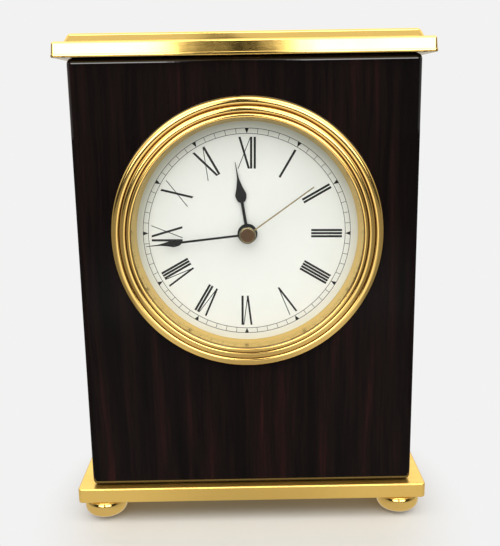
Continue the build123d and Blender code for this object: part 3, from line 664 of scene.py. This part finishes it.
def set_normals(ob, fn):
    """Custom normals from a function of (corner positions, face centres, face normals), in mm."""
    me = ob.data
    me.shade_smooth()
    nv, nl, npol = len(me.vertices), len(me.loops), len(me.polygons)
    co = np.zeros(nv * 3); me.vertices.foreach_get("co", co); co = co.reshape(-1, 3) / MM
    li = np.zeros(nl, np.int32); me.loops.foreach_get("vertex_index", li)
    tot = np.zeros(npol, np.int32); me.polygons.foreach_get("loop_total", tot)
    fc = np.zeros(npol * 3); me.polygons.foreach_get("center", fc); fc = fc.reshape(-1, 3) / MM
    fn_ = np.zeros(npol * 3); me.polygons.foreach_get("normal", fn_); fn_ = fn_.reshape(-1, 3)
    owner = np.repeat(np.arange(npol), tot)
    N = fn(co[li], fc[owner], fn_[owner])
    N = N / np.maximum(np.linalg.norm(N, axis=1, keepdims=True), 1e-9)
    me.normals_split_custom_set(N.tolist())


# ---------------------------------------------------------------------------
# case: block, plates, feet
# ---------------------------------------------------------------------------
R_BLK = 2.0
BORE = 40.5


def block_shape():
    hx, hy = (blk_hi.x - blk_lo.x) / 2, (YB - YF) / 2
    n = 10
    prof = []
    for k in range(n + 1):
        a = math.pi / 2 * k / n
        prof.append((R_BLK * math.sin(a), ZB + R_BLK - R_BLK * math.cos(a)))
    prof += [(R_BLK, ZT - R_BLK)]
    for k in range(1, n + 1):
        a = math.pi / 2 * k / n
        prof.append((R_BLK * math.cos(a), ZT - R_BLK + R_BLK * math.sin(a)))
    prof[0] = (0.0001, prof[0][1])
    prof[-1] = (0.0001, prof[-1][1])
    return place(sweep(ring_rect(hx, hy, R_BLK, n), prof), "Z", (0, YM, 0))


blk = temp(block_shape())
blk.name = "wood_block"
cut = [temp(place(sweep(ring_circle(192), [(BORE, -5), (BORE, YB - YF + 5)]), "Y", (XC, YF, ZC))),
       temp(place(sweep(ring_circle(192), [(BORE - 1.0, YB - YF - 1.5), (BORE + 1.6, YB - YF + 1.1)]), "Y", (XC, YF, ZC)))]
for sx in (-18.0, 18.0):
    seat = ZC + 39.6
    cut.append(temp(place(sweep(ring_circle(40), [(3.1, ZC), (3.1, seat)]), "Z", (sx, YM + 9.0, 0))))
boolean(blk, cut)
blk.data.materials.clear()
blk.data.materials.append(MAT["lacquered_wood"])
blk.data.name = "wood_block"


def block_normals(p, c, f):
    hx, hy = (blk_hi.x - blk_lo.x) / 2 - R_BLK, (YB - YF) / 2 - R_BLK
    inner = np.stack([np.clip(p[:, 0], -hx, hx), np.clip(p[:, 1], YM - hy, YM + hy), np.clip(p[:, 2], ZB + R_BLK, ZT - R_BLK)], 1)
    n = p - inner
    small = np.linalg.norm(n, axis=1) < 0.5
    n[small] = f[small]
    rr = np.hypot(c[:, 0] - XC, c[:, 2] - ZC)
    bore = (rr < BORE + 1.7) & (np.abs(f[:, 1]) < 0.9)
    wall = bore & (np.abs(f[:, 1]) < 0.2) & (rr < BORE + 0.2)
    n[bore] = f[bore]
    rad = np.stack([XC - p[:, 0], np.zeros(len(p)), ZC - p[:, 2]], 1)
    n[wall] = rad[wall]
    pocket = (rr >= BORE + 0.2) & (rr < 60) & (np.abs(f[:, 1]) < 0.95) & (np.abs(c[:, 0]) < 30) & (c[:, 1] > YF + 3) & (c[:, 1] < YB - 3) & (c[:, 2] > ZC) & (c[:, 2] < ZT - 3)
    n[pocket] = f[pocket]
    return n


set_normals(blk, block_normals)
blk.data.materials.append(MAT["raw_wood"])
for pl in blk.data.polygons:
    c = pl.center / MM
    rr = math.hypot(c.x - XC, c.z - ZC)
    outside = abs(c.x) > blk_hi.x - R_BLK - 0.1 or c.z > ZT - R_BLK - 0.1 or c.z < ZB + R_BLK + 0.1
    if not outside and abs(pl.normal.y) < 0.95 and YF + 0.05 < c.y < YB - 0.05 and rr < 62:
        pl.material_index = 1
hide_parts("case_block")
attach(blk, "case")

# top plate: thin square lip, face leaning back, step, upper tier with a rounded rim
W1, D1 = (tp_hi.x - tp_lo.x) / 2, (tp_hi.y - tp_lo.y) / 2
T1, T2 = 4.9, tp_hi.z - tp_lo.z - 4.9
Z1 = ZT + T1
RC1 = 1.2
low = [(0.0001, ZT)]
low += corner((RC1, ZT), 0.0, math.pi / 2, 0.25, 5)
low += [(RC1, ZT + 0.86), (RC1 - 0.07, ZT + 0.98), (RC1 - 0.16, ZT + 1.03)]
lean = math.radians(90 + 5.0)
top_in = RC1 - 0.15 - (T1 - 1.0) * math.tan(math.radians(5.0))
low += corner((top_in, Z1), lean, math.pi, 0.8, 8)
low += [(0.0001, Z1)]
shape_low = place(sweep(ring_rect(W1, D1, RC1, 8), low), "Z", (0, YM, 0))
RC2 = 2.2
lean2 = math.radians(90 + 14.0)
up_in = RC2 - T2 * math.tan(math.radians(14.0))
up = [(0.0001, Z1 - 0.6), (RC2, Z1 - 0.6), (RC2, Z1)] + corner((up_in, Z1 + T2), lean2, math.pi, 0.95, 10) + [(0.0001, Z1 + T2)]
uv, uf, un = place(sweep(ring_rect(58.0, 20.5, RC2, 10), up), "Z", (0, YM, 0))
rise = np.clip((uv[:, 2] - Z1) / T2, 0.0, 1.0)
uv[:, 0] *= 1.0 - 0.018 * rise                 # the ends of the upper tier lean in more than its long faces
ends = np.abs(un[:, 0]) > 0.5
un[ends, 2] += 0.35
shape_up = (uv, uf, un)
add("brass_top_plate", join(shape_low, shape_up), "polished_brass", "case", "polished_brass", "top_plate")

# base plate with countersunk screw holes underneath
WB, DB = (bp_hi.x - bp_lo.x) / 2, (bp_hi.y - bp_lo.y) / 2
ZP0, ZP1 = bp_lo.z, bp_hi.z
RCB = 1.5
bas = [(0.0001, ZP0)] + corner((RCB, ZP0), 0.0, math.pi / 2, 0.5, 6) + corner((RCB, ZP1), math.pi / 2, math.pi, 0.6, 8) + [(0.0001, ZP1)]
base_v, base_f, base_n = place(sweep(ring_rect(WB, DB, RCB, 8), bas), "Z", (0, YM, 0))
bo = temp((base_v, base_f, base_n))
bo.name = "brass_base_plate"
cut = []
for sx in (-36.0, 36.0):
    cut.append(temp(place(sweep(ring_circle(48), [(0, ZP0 - 1), (3.4, ZP0 - 1), (3.4, ZP0 + 0.3), (1.7, ZP0 + 2.0), (1.7, ZP0 + 4.6), (0, ZP0 + 4.6)]), "Z", (sx, YM, 0))))
boolean(bo, cut)
bo.data.name = "brass_base_plate"
bo.data.materials.clear()
bo.data.materials.append(MAT["base_brass"])


def base_normals(p, c, f):
    n = f.copy()
    cx, cy = WB - RCB, DB - RCB
    q = np.stack([np.clip(p[:, 0], -cx, cx), np.clip(p[:, 1], YM - cy, YM + cy)], 1)
    d = p[:, :2] - q
    L = np.linalg.norm(d, axis=1)
    d = d / np.maximum(L, 1e-9)[:, None]
    rim = L > 1e-6
    z = p[:, 2]
    top = rim & (z > ZP1 - 0.6 - 1e-4) & (L > RCB - 0.6 - 1e-4)
    bot = rim & (z < ZP0 + 0.5 + 1e-4) & (L > RCB - 0.5 - 1e-4)
    mid = rim & (z <= ZP1 - 0.6 + 1e-3) & (z >= ZP0 + 0.5 - 1e-3)
    n[mid] = np.concatenate([d[mid], np.zeros((mid.sum(), 1))], 1)
    s = (L - (RCB - 0.6))[:, None] * d
    n[top] = np.concatenate([s[top], (z[top] - (ZP1 - 0.6))[:, None]], 1)
    s = (L - (RCB - 0.5))[:, None] * d
    n[bot] = np.concatenate([s[bot], (z[bot] - (ZP0 + 0.5))[:, None]], 1)
    flat = np.abs(f[:, 2]) > 0.9995
    n[flat] = f[flat]
    return n


set_normals(bo, base_normals)
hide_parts("base_plate")
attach(bo, "case")


pad_lo, pad_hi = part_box("foot_pads")
PAD_TOP = pad_hi.z / MM - 0.3             # the pads sit 0.3 mm up inside the feet
SEAT = 3.9


def foot_shape(cx, cy):
    """Turned bun foot: a short neck, a flattened ball on a small flat and a recess for the felt."""
    z0, z1 = PAD_TOP, ZP0
    pts = [(1.7, z1), (5.35, z1), (5.52, z1 - 0.10), (5.60, z1 - 0.26), (5.70, z1 - 0.35)]
    mid, hh = (z0 + z1 - 0.35) / 2, (z1 - 0.35 - z0) / 2
    for k in range(1, 40):
        a = math.radians(90 - 180 * k / 40)
        ca, sa = abs(math.cos(a)), math.sin(a)
        inner = 5.7 if sa > 0 else SEAT
        pts.append((inner + (7.6 - inner) * (ca ** 0.85 if sa > 0 else ca), mid + hh * sa))
    pts += [(SEAT, z0), (3.65, z0), (3.65, z0 + 0.3), (2.75, z0 + 0.3), (2.75, 2.6), (1.7, 2.6)]
    return place(sweep(ring_circle(96), pts, closed=True, sharp=40), "Z", (cx, cy, 0))


for node in ("foot_front_left", "foot_front_right", "foot_rear_left", "foot_rear_right"):
    lo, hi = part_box(node)
    c = (lo + hi) / 2 / MM
    add("bun_" + node, foot_shape(c.x, c.y), "foot_brass", "case", "polished_brass", node)

# ---------------------------------------------------------------------------
# insert: bezel, cone, glass, dial
# ---------------------------------------------------------------------------
PROUD = bz_lo.y - YF                      # crest of the bezel, in front of the block


def bead(r0, t0, r1, t1, rc, tc, n=16, m=7):
    """Full, flat-crowned round from its foot up to its crest, then a short roll down to the crevice."""
    pts = []
    for k in range(n + 1):
        a = math.radians(4 + 86 * k / n)
        pts.append((r1 + (r0 - r1) * math.cos(a) ** 0.74, t0 + (t1 - t0) * math.sin(a) ** 0.74))
    for k in range(1, m + 1):
        a = math.radians(68 * k / m)
        pts.append((r1 - (r1 - rc) * math.sin(a), tc + (t1 - tc) * math.cos(a)))
    return pts + [(rc, tc)]


RB = (bz_hi.x - bz_lo.x) / 2
gl_lo, gl_hi = [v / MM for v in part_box("lens")]
LENS_T0, LENS_T1 = gl_lo.y - YF, gl_hi.y - YF
bez = [(40.6, 0.0), (RB - 0.12, 0.0), (RB, -0.12), (RB, -0.9)]
bez += bead(RB, -0.9, 43.3, -2.9, 42.35, -2.2) + bead(42.35, -2.2, 40.7, -3.8, 39.95, -3.2) + bead(39.95, -3.2, 38.95, PROUD, 38.4, -4.3)
bez += [(38.4, LENS_T0), (39.3, LENS_T0), (39.3, 6.4), (40.3, 6.4), (40.3, 0.3)]
add("bezel_ring", turned(bez, segs=360, sharp=28), "gilt_brass", "insert", "gilt_brass", "bezel")

cone = [(38.45, -2.6), (39.2, -2.6), (39.2, DIAL_T), (37.3, DIAL_T), (37.3, DIAL_T - 0.22), (37.34, DIAL_T - 0.27)]
add("inner_cone", turned(cone, segs=256, sharp=25), "cone_brass", "insert", "gilt_brass", "rehaut_ring")

gl = rounded([(0.0, LENS_T0), (39.2, LENS_T0), (39.2, LENS_T1), (0.0, LENS_T1)], [0, 0.12, 0.12, 0], 3)
add("dial_glass", turned(gl, segs=192, closed=False), "clear_glass", "insert", "clear_glass", "lens")

dl = [(2.6, DIAL_T), (39.0, DIAL_T), (39.0, DIAL_T + 0.5), (2.6, DIAL_T + 0.5)]
add("dial_plate", turned(dl, segs=192), "dial_white", "insert", "dial_white", "dial")

# ---------------------------------------------------------------------------
# dial printing: numerals with feet to the centre, minute track
# ---------------------------------------------------------------------------
Y0, Y1 = 21.5, 31.8
INK = 0.02


def stroke(x_top, x_bot, w, y0=Y0, y1=Y1):
    return [(x_bot - w / 2, y0), (x_bot + w / 2, y0), (x_top + w / 2, y1), (x_top - w / 2, y1)]


def bar(x):
    return stroke(x, x, 0.74)


def vee(x):
    return [stroke(x, x + 1.3, 0.64), stroke(x + 2.6, x + 1.3, 0.27)]


def ex(x):
    return [stroke(x, x + 3.06, 0.74), stroke(x + 3.6, x - 0.47, 0.26)]


NUMERALS = {
    1: [bar(0)],
    2: [bar(0), bar(1.04)],
    3: [bar(0), bar(1.04), bar(2.08)],
    4: [bar(0), bar(0.97), bar(1.94), bar(2.91)],
    5: vee(0),
    6: vee(0) + [bar(3.06)],
    7: vee(0) + [bar(3.06), bar(4.05)],
    8: vee(0) + [bar(3.06), bar(4.05), bar(5.0)],
    9: [bar(-0.72)] + ex(0.62),
    10: ex(0),
    11: ex(0) + [bar(3.81)],
    12: ex(0) + [bar(3.81), bar(4.99)],
}


DIAL_TURN = 0.9        # the printed dial sits a little turned in its case


def onto_dial(poly, deg):
    a = math.radians(deg + DIAL_TURN)
    s, c = math.sin(a), math.cos(a)
    return [(y * s + x * c - 0.2, y * c - x * s) for x, y in poly]


ink = []
for hour, strokes in NUMERALS.items():
    xs = [p[0] for st in strokes for p in st]
    mid = (min(xs) + max(xs)) / 2
    for k, st in enumerate(strokes):
        poly = [((x - mid) * 1.01, y * 1.01) for x, y in st]
        ink.append(prism(onto_dial(poly, hour * 30.0), DIAL_T - INK - 0.002 * k, DIAL_T))
R_OUT, R_IN, LINE = 34.95, 33.2, 0.17
for r in (R_OUT, R_IN):
    ink.append(turned([(r - LINE / 2, DIAL_T - INK), (r + LINE / 2, DIAL_T - INK), (r + LINE / 2, DIAL_T), (r - LINE / 2, DIAL_T)], segs=240, u=-0.2))
for k in range(60):
    if k % 5:
        ink.append(prism(onto_dial([(-0.075, R_IN), (0.075, R_IN), (0.075, R_OUT), (-0.075, R_OUT)], 6.0 * k), DIAL_T - INK - 0.003, DIAL_T))
    else:
        ink.append(prism(onto_dial([(0.0, R_IN - 0.02), (0.72, R_OUT + 0.06), (-0.72, R_OUT + 0.06)], 6.0 * k), DIAL_T - INK - 0.004, DIAL_T))
add("dial_printing", join(*ink), "print_black", "insert", "hand_black")

# ---------------------------------------------------------------------------
# hands
# ---------------------------------------------------------------------------
HOUR_DEG, MINUTE_DEG, SECOND_DEG = 351.3, 264.1, 54.7
hh_lo, hh_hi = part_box("hour_hand")
mh_lo, mh_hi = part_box("minute_hand")
sh_lo, sh_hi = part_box("second_hand")
sc_lo, sc_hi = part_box("second_hand_cap")
HOUR_T = (hh_lo.y / MM - YF, hh_hi.y / MM - YF)
MINUTE_T = (mh_lo.y / MM - YF, mh_hi.y / MM - YF)
SECOND_T = sh_lo.y / MM - YF


def spade(hub_r, stem, start, wide_at, wide, shoulder, tip, needle, end, inset=0.0):
    half = [(stem / 2, hub_r * 0.55), (stem / 2, start)]
    for k in range(1, 13):
        a = math.radians(90.0 * k / 12)
        half.append((stem / 2 + (wide / 2 - stem / 2) * math.sin(a), wide_at - (wide_at - start) * math.cos(a)))
    for k in range(1, 19):
        f = k / 18
        w = wide / 2 + (needle / 2 - wide / 2) * (1 - (1 - f) ** shoulder)
        half.append((w, wide_at + (tip - wide_at) * f))
    half.append((0.07, end))
    if inset:
        half = [(max(w - inset, 0.03), y if k < len(half) - 1 else y - inset) for k, (w, y) in enumerate(half)]
    return half + [(-x, y) for x, y in reversed(half)]


def clock_turn(poly, deg):
    a = math.radians(deg)
    s, c = math.sin(a), math.cos(a)
    return [(y * s + x * c, y * c - x * s) for x, y in poly]


def hub(ro, ri, t0, t1, bev):
    return turned([(ri, t0), (ro - bev, t0), (ro, t0 + bev), (ro, t1), (ri, t1)], segs=96, sharp=20)


hour_args = (3.3, 0.98, 10.7, 13.5, 3.75, 1.65, 20.2, 0.42, 24.3)
minute_args = (2.4, 0.72, 22.4, 25.2, 2.5, 1.7, 30.8, 0.38, 34.2)
hour = join(prism(clock_turn(spade(*hour_args), HOUR_DEG), HOUR_T[0] + 0.01, HOUR_T[1], 0.06, clock_turn(spade(*hour_args, inset=0.07), HOUR_DEG)),
            hub(3.35, 1.91, HOUR_T[0], HOUR_T[1], 0.06))
add("hour_hand_black", hour, "hand_black", "hour_arbor", "hand_black", "hour_hand")
minute = join(prism(clock_turn(spade(*minute_args), MINUTE_DEG), MINUTE_T[0] + 0.01, MINUTE_T[1], 0.05, clock_turn(spade(*minute_args, inset=0.05), MINUTE_DEG)),
              hub(2.4, 1.11, MINUTE_T[0], MINUTE_T[1], 0.05))
add("minute_hand_black", minute, "hand_black", "minute_arbor", "hand_black", "minute_hand")

ned = [(0.25, 0.8), (0.20, 27.1), (-0.20, 27.1), (-0.25, 0.8)]
ned_i = [(0.19, 0.85), (0.14, 27.04), (-0.14, 27.04), (-0.19, 0.85)]
second = join(prism(clock_turn(ned, SECOND_DEG), SECOND_T + 0.005, SECOND_T + 0.2, 0.05, clock_turn(ned_i, SECOND_DEG)),
              hub(1.2, 0.49, SECOND_T, SECOND_T + 0.45, 0.04))
add("second_hand_brass", second, "hand_brass", "seconds", "hand_brass", "second_hand")

cap_t = sc_lo.y / MM - YF
cap = [(0.49, cap_t + 0.4), (0.0, cap_t + 0.4)][::-1]
cap_prof = [(0.0, cap_t + 0.06), (2.12, cap_t + 0.06), (2.26, cap_t + 0.04), (2.34, cap_t), (2.5, cap_t + 0.04), (2.68, cap_t + 0.17), (2.8, cap_t + 0.42), (2.8, cap_t + 0.8),
            (2.65, cap_t + 1.03), (0.49, cap_t + 1.03), (0.49, cap_t + 0.4), (0.0, cap_t + 0.4)]
cap_shape = turned(cap_prof, segs=96, closed=False, sharp=28)
cv, cf, cn_ = cap_shape
cen = np.array([np.mean([cv[i] for i in f], axis=0) for f in cf])
rad = np.hypot(cen[:, 0] - XC, cen[:, 2] - ZC)
front = (rad < 2.24) & (cen[:, 1] < YF + cap_t + 0.2)
add("second_hand_boss", cap_shape, ["cap_rim", "cap_face"], "seconds", "hand_brass", "second_hand_cap", face_mat=front.astype(int))

# ---------------------------------------------------------------------------
# the rest of the CAD nodes keep their shape and take a node material
# ---------------------------------------------------------------------------
slots = {s["node"]: s["material_slot"] for s in frame["record"]["subparts"]}
for name, ob in nodes.items():
    if ob.hide_render:
        continue
    m = MAT[slots[name]]
    ob.data.materials.clear()
    ob.data.materials.append(m)

# ---------------------------------------------------------------------------
# stage: floor, light, camera
# ---------------------------------------------------------------------------
PALE = (0.888, 0.888, 0.886)


def make_floor():
    """Matt pale table. Seen in the flat lacquer and in the glass it is dark, as the reader's side
    of the room is; elsewhere it is a soft pale field."""
    m, t = material("stage_floor")
    p = t.coord()
    x, y, z = t.xyz(p)
    cloud = t.noise(p, 14.0, 3.0, 0.6)
    r = ((x * x) * 1.15 + (y + 0.01) * (y + 0.01) * 0.75) ** 0.5
    diff = t.new("BsdfDiffuse")
    shade = t.mixcol(cloud.step(0.3, 0.7), (0.345, 0.337, 0.320), (0.355, 0.348, 0.331))
    t.nt.links.new(shade, diff.inputs["Color"])
    em = t.new("Emission")
    em.inputs["Color"].default_value = (*PALE, 1)
    lp = t.new("LightPath")
    geo = t.new("NewGeometry")
    far = t.new("VectorMath", operation="SCALE")
    t.link(geo.outputs["Incoming"], far.inputs[0])
    t.link(lp.outputs["Ray Length"], far.inputs["Scale"])
    org = t.new("VectorMath", operation="ADD")
    t.link(geo.outputs["Position"], org.inputs[0])
    t.link(far.outputs[0], org.inputs[1])
    ox, oy, oz = t.xyz(org.outputs[0])
    on_block = (oy - YF * MM).abs().less(0.0007)
    on_back = (oy - YB * MM).abs().less(0.0007)
    on_side = (ox.abs() - blk_hi.x * MM).abs().less(0.0007)
    rx, rz = ox - XC * MM, oz - ZC * MM
    on_glass = (oy - (YF + LENS_T0) * MM).abs().less(0.00025) * (rx * rx + rz * rz).less((38.38 * MM) ** 2)
    high = (ox * 0.0 + oz).step((ZB + 1.0) * MM, (ZB + 1.5) * MM)
    gloss = S(t.nt, lp.outputs["Is Glossy Ray"])
    flat = on_block.max(on_glass) * high * gloss
    far_field = r.step(0.050, 0.088)
    ax = x.abs()
    patch = 0.57 + ax.step(0.010, 0.050) * 0.22 - ax.step(0.075, 0.150) * 0.46
    patch = patch + y.step(-0.22, -0.34) * ax.step(0.20, 0.10) * 0.85
    level = (1.0 - gloss) + gloss * patch
    rest = on_back.max(on_side) * high * gloss
    t.link(level * (1.0 - (flat * 0.93).max(rest * 0.75)), em.inputs["Strength"])
    mx = t.new("MixShader")
    t.link(far_field.max(gloss), mx.inputs[0])
    t.link(diff.outputs[0], mx.inputs[1])
    t.link(em.outputs[0], mx.inputs[2])
    t.out(mx.outputs[0])
    return m


bm = bmesh.new()
bmesh.ops.create_grid(bm, x_segments=24, y_segments=24, size=3.0)
fm = bpy.data.meshes.new("stage_floor")
bm.to_mesh(fm)
bm.free()
fm.materials.append(make_floor())
floor = bpy.data.objects.new("stage_floor", fm)
bpy.context.scene.collection.objects.link(floor)

world = bpy.data.worlds.new("studio")
bpy.context.scene.world = world
world.use_nodes = True
wt = Tree(world.node_tree)
dx, dy, dz = wt.xyz(wt.coord("Generated"))
az = dx.atan2(dy * -1.0)                 # 0 towards the reader's side, + to the right
el = dz.asin()
DEG = math.pi / 180
azg = (dx + dz * 0.06).atan2(dy * -1.0)
front = az.abs().step(38 * DEG, 24 * DEG)
wide = az.abs().step(80 * DEG, 55 * DEG)
gap = (azg.abs() - (el.step(30 * DEG, 17 * DEG) * 0.062 + 0.014)).step(-0.012, 0.018)
low = el.step(3.5 * DEG, 8 * DEG) * el.step(24 * DEG, 18 * DEG) * 6.4 * gap * front
mid_ = el.step(18 * DEG, 26 * DEG) * el.step(44 * DEG, 34 * DEG) * 0.9 * gap * wide
high = el.step(34 * DEG, 44 * DEG) * el.step(66 * DEG, 54 * DEG) * 6.0 * gap * wide
dark = 0.03
side = az.abs().step(50 * DEG, 85 * DEG) * (el.step(4 * DEG, 28 * DEG) * 0.85 + 0.38 + az.abs().step(120 * DEG, 150 * DEG) * 0.30)
top = el.step(56 * DEG, 72 * DEG) * 1.1
L = low + mid_ + high + side.max(top) + dark
soft = el.step(20 * DEG, 55 * DEG) * az.abs().step(130 * DEG, 60 * DEG) * 5.1 + 0.64      # light that falls on matt surfaces
lpd = wt.new("LightPath")
matt = S(wt.nt, lpd.outputs["Is Diffuse Ray"])
L = L * (1.0 - matt) + soft * matt
bg_cam = wt.new("Background")
bg_cam.inputs["Color"].default_value = (*PALE, 1)
bg_env = wt.new("Background")
bg_env.inputs["Color"].default_value = (1.0, 0.985, 0.955, 1)
wt.link(L, bg_env.inputs["Strength"])
lp = wt.new("LightPath")
mx = wt.new("MixShader")
wt.link(lp.outputs["Is Camera Ray"], mx.inputs[0])
wt.link(bg_env.outputs[0], mx.inputs[1])
wt.link(bg_cam.outputs[0], mx.inputs[2])
wo = world.node_tree.nodes.new("ShaderNodeOutputWorld")
wt.link(mx.outputs[0], wo.inputs["Surface"])

sc = bpy.context.scene
sc.view_settings.view_transform = "Standard"
sc.view_settings.look = "None"

cam_data = bpy.data.cameras.new("camera")
cam_data.sensor_width = 36.0
cam_data.lens = 51.43
cam_data.clip_start, cam_data.clip_end = 0.01, 20.0
cam = bpy.data.objects.new("camera", cam_data)
sc.collection.objects.link(cam)
yaw, pitch, roll = math.radians(-0.182), math.radians(12.655), math.radians(0.946)
Fh = Vector((-math.sin(yaw), math.cos(yaw), 0.0))
Rt = Vector((math.cos(yaw), math.sin(yaw), 0.0))
Zu = Vector((0, 0, 1))
Fw = Fh * math.cos(pitch) - Zu * math.sin(pitch)
Up = Fh * math.sin(pitch) + Zu * math.cos(pitch)
r = Rt * math.cos(roll) - Up * math.sin(roll)
u = Rt * math.sin(roll) + Up * math.cos(roll)
M = Matrix((( r.x, u.x, -Fw.x, -0.000191), (r.y, u.y, -Fw.y, -0.277761), (r.z, u.z, -Fw.z, 0.148461), (0, 0, 0, 1)))
cam.matrix_world = M
sc.camera = cam
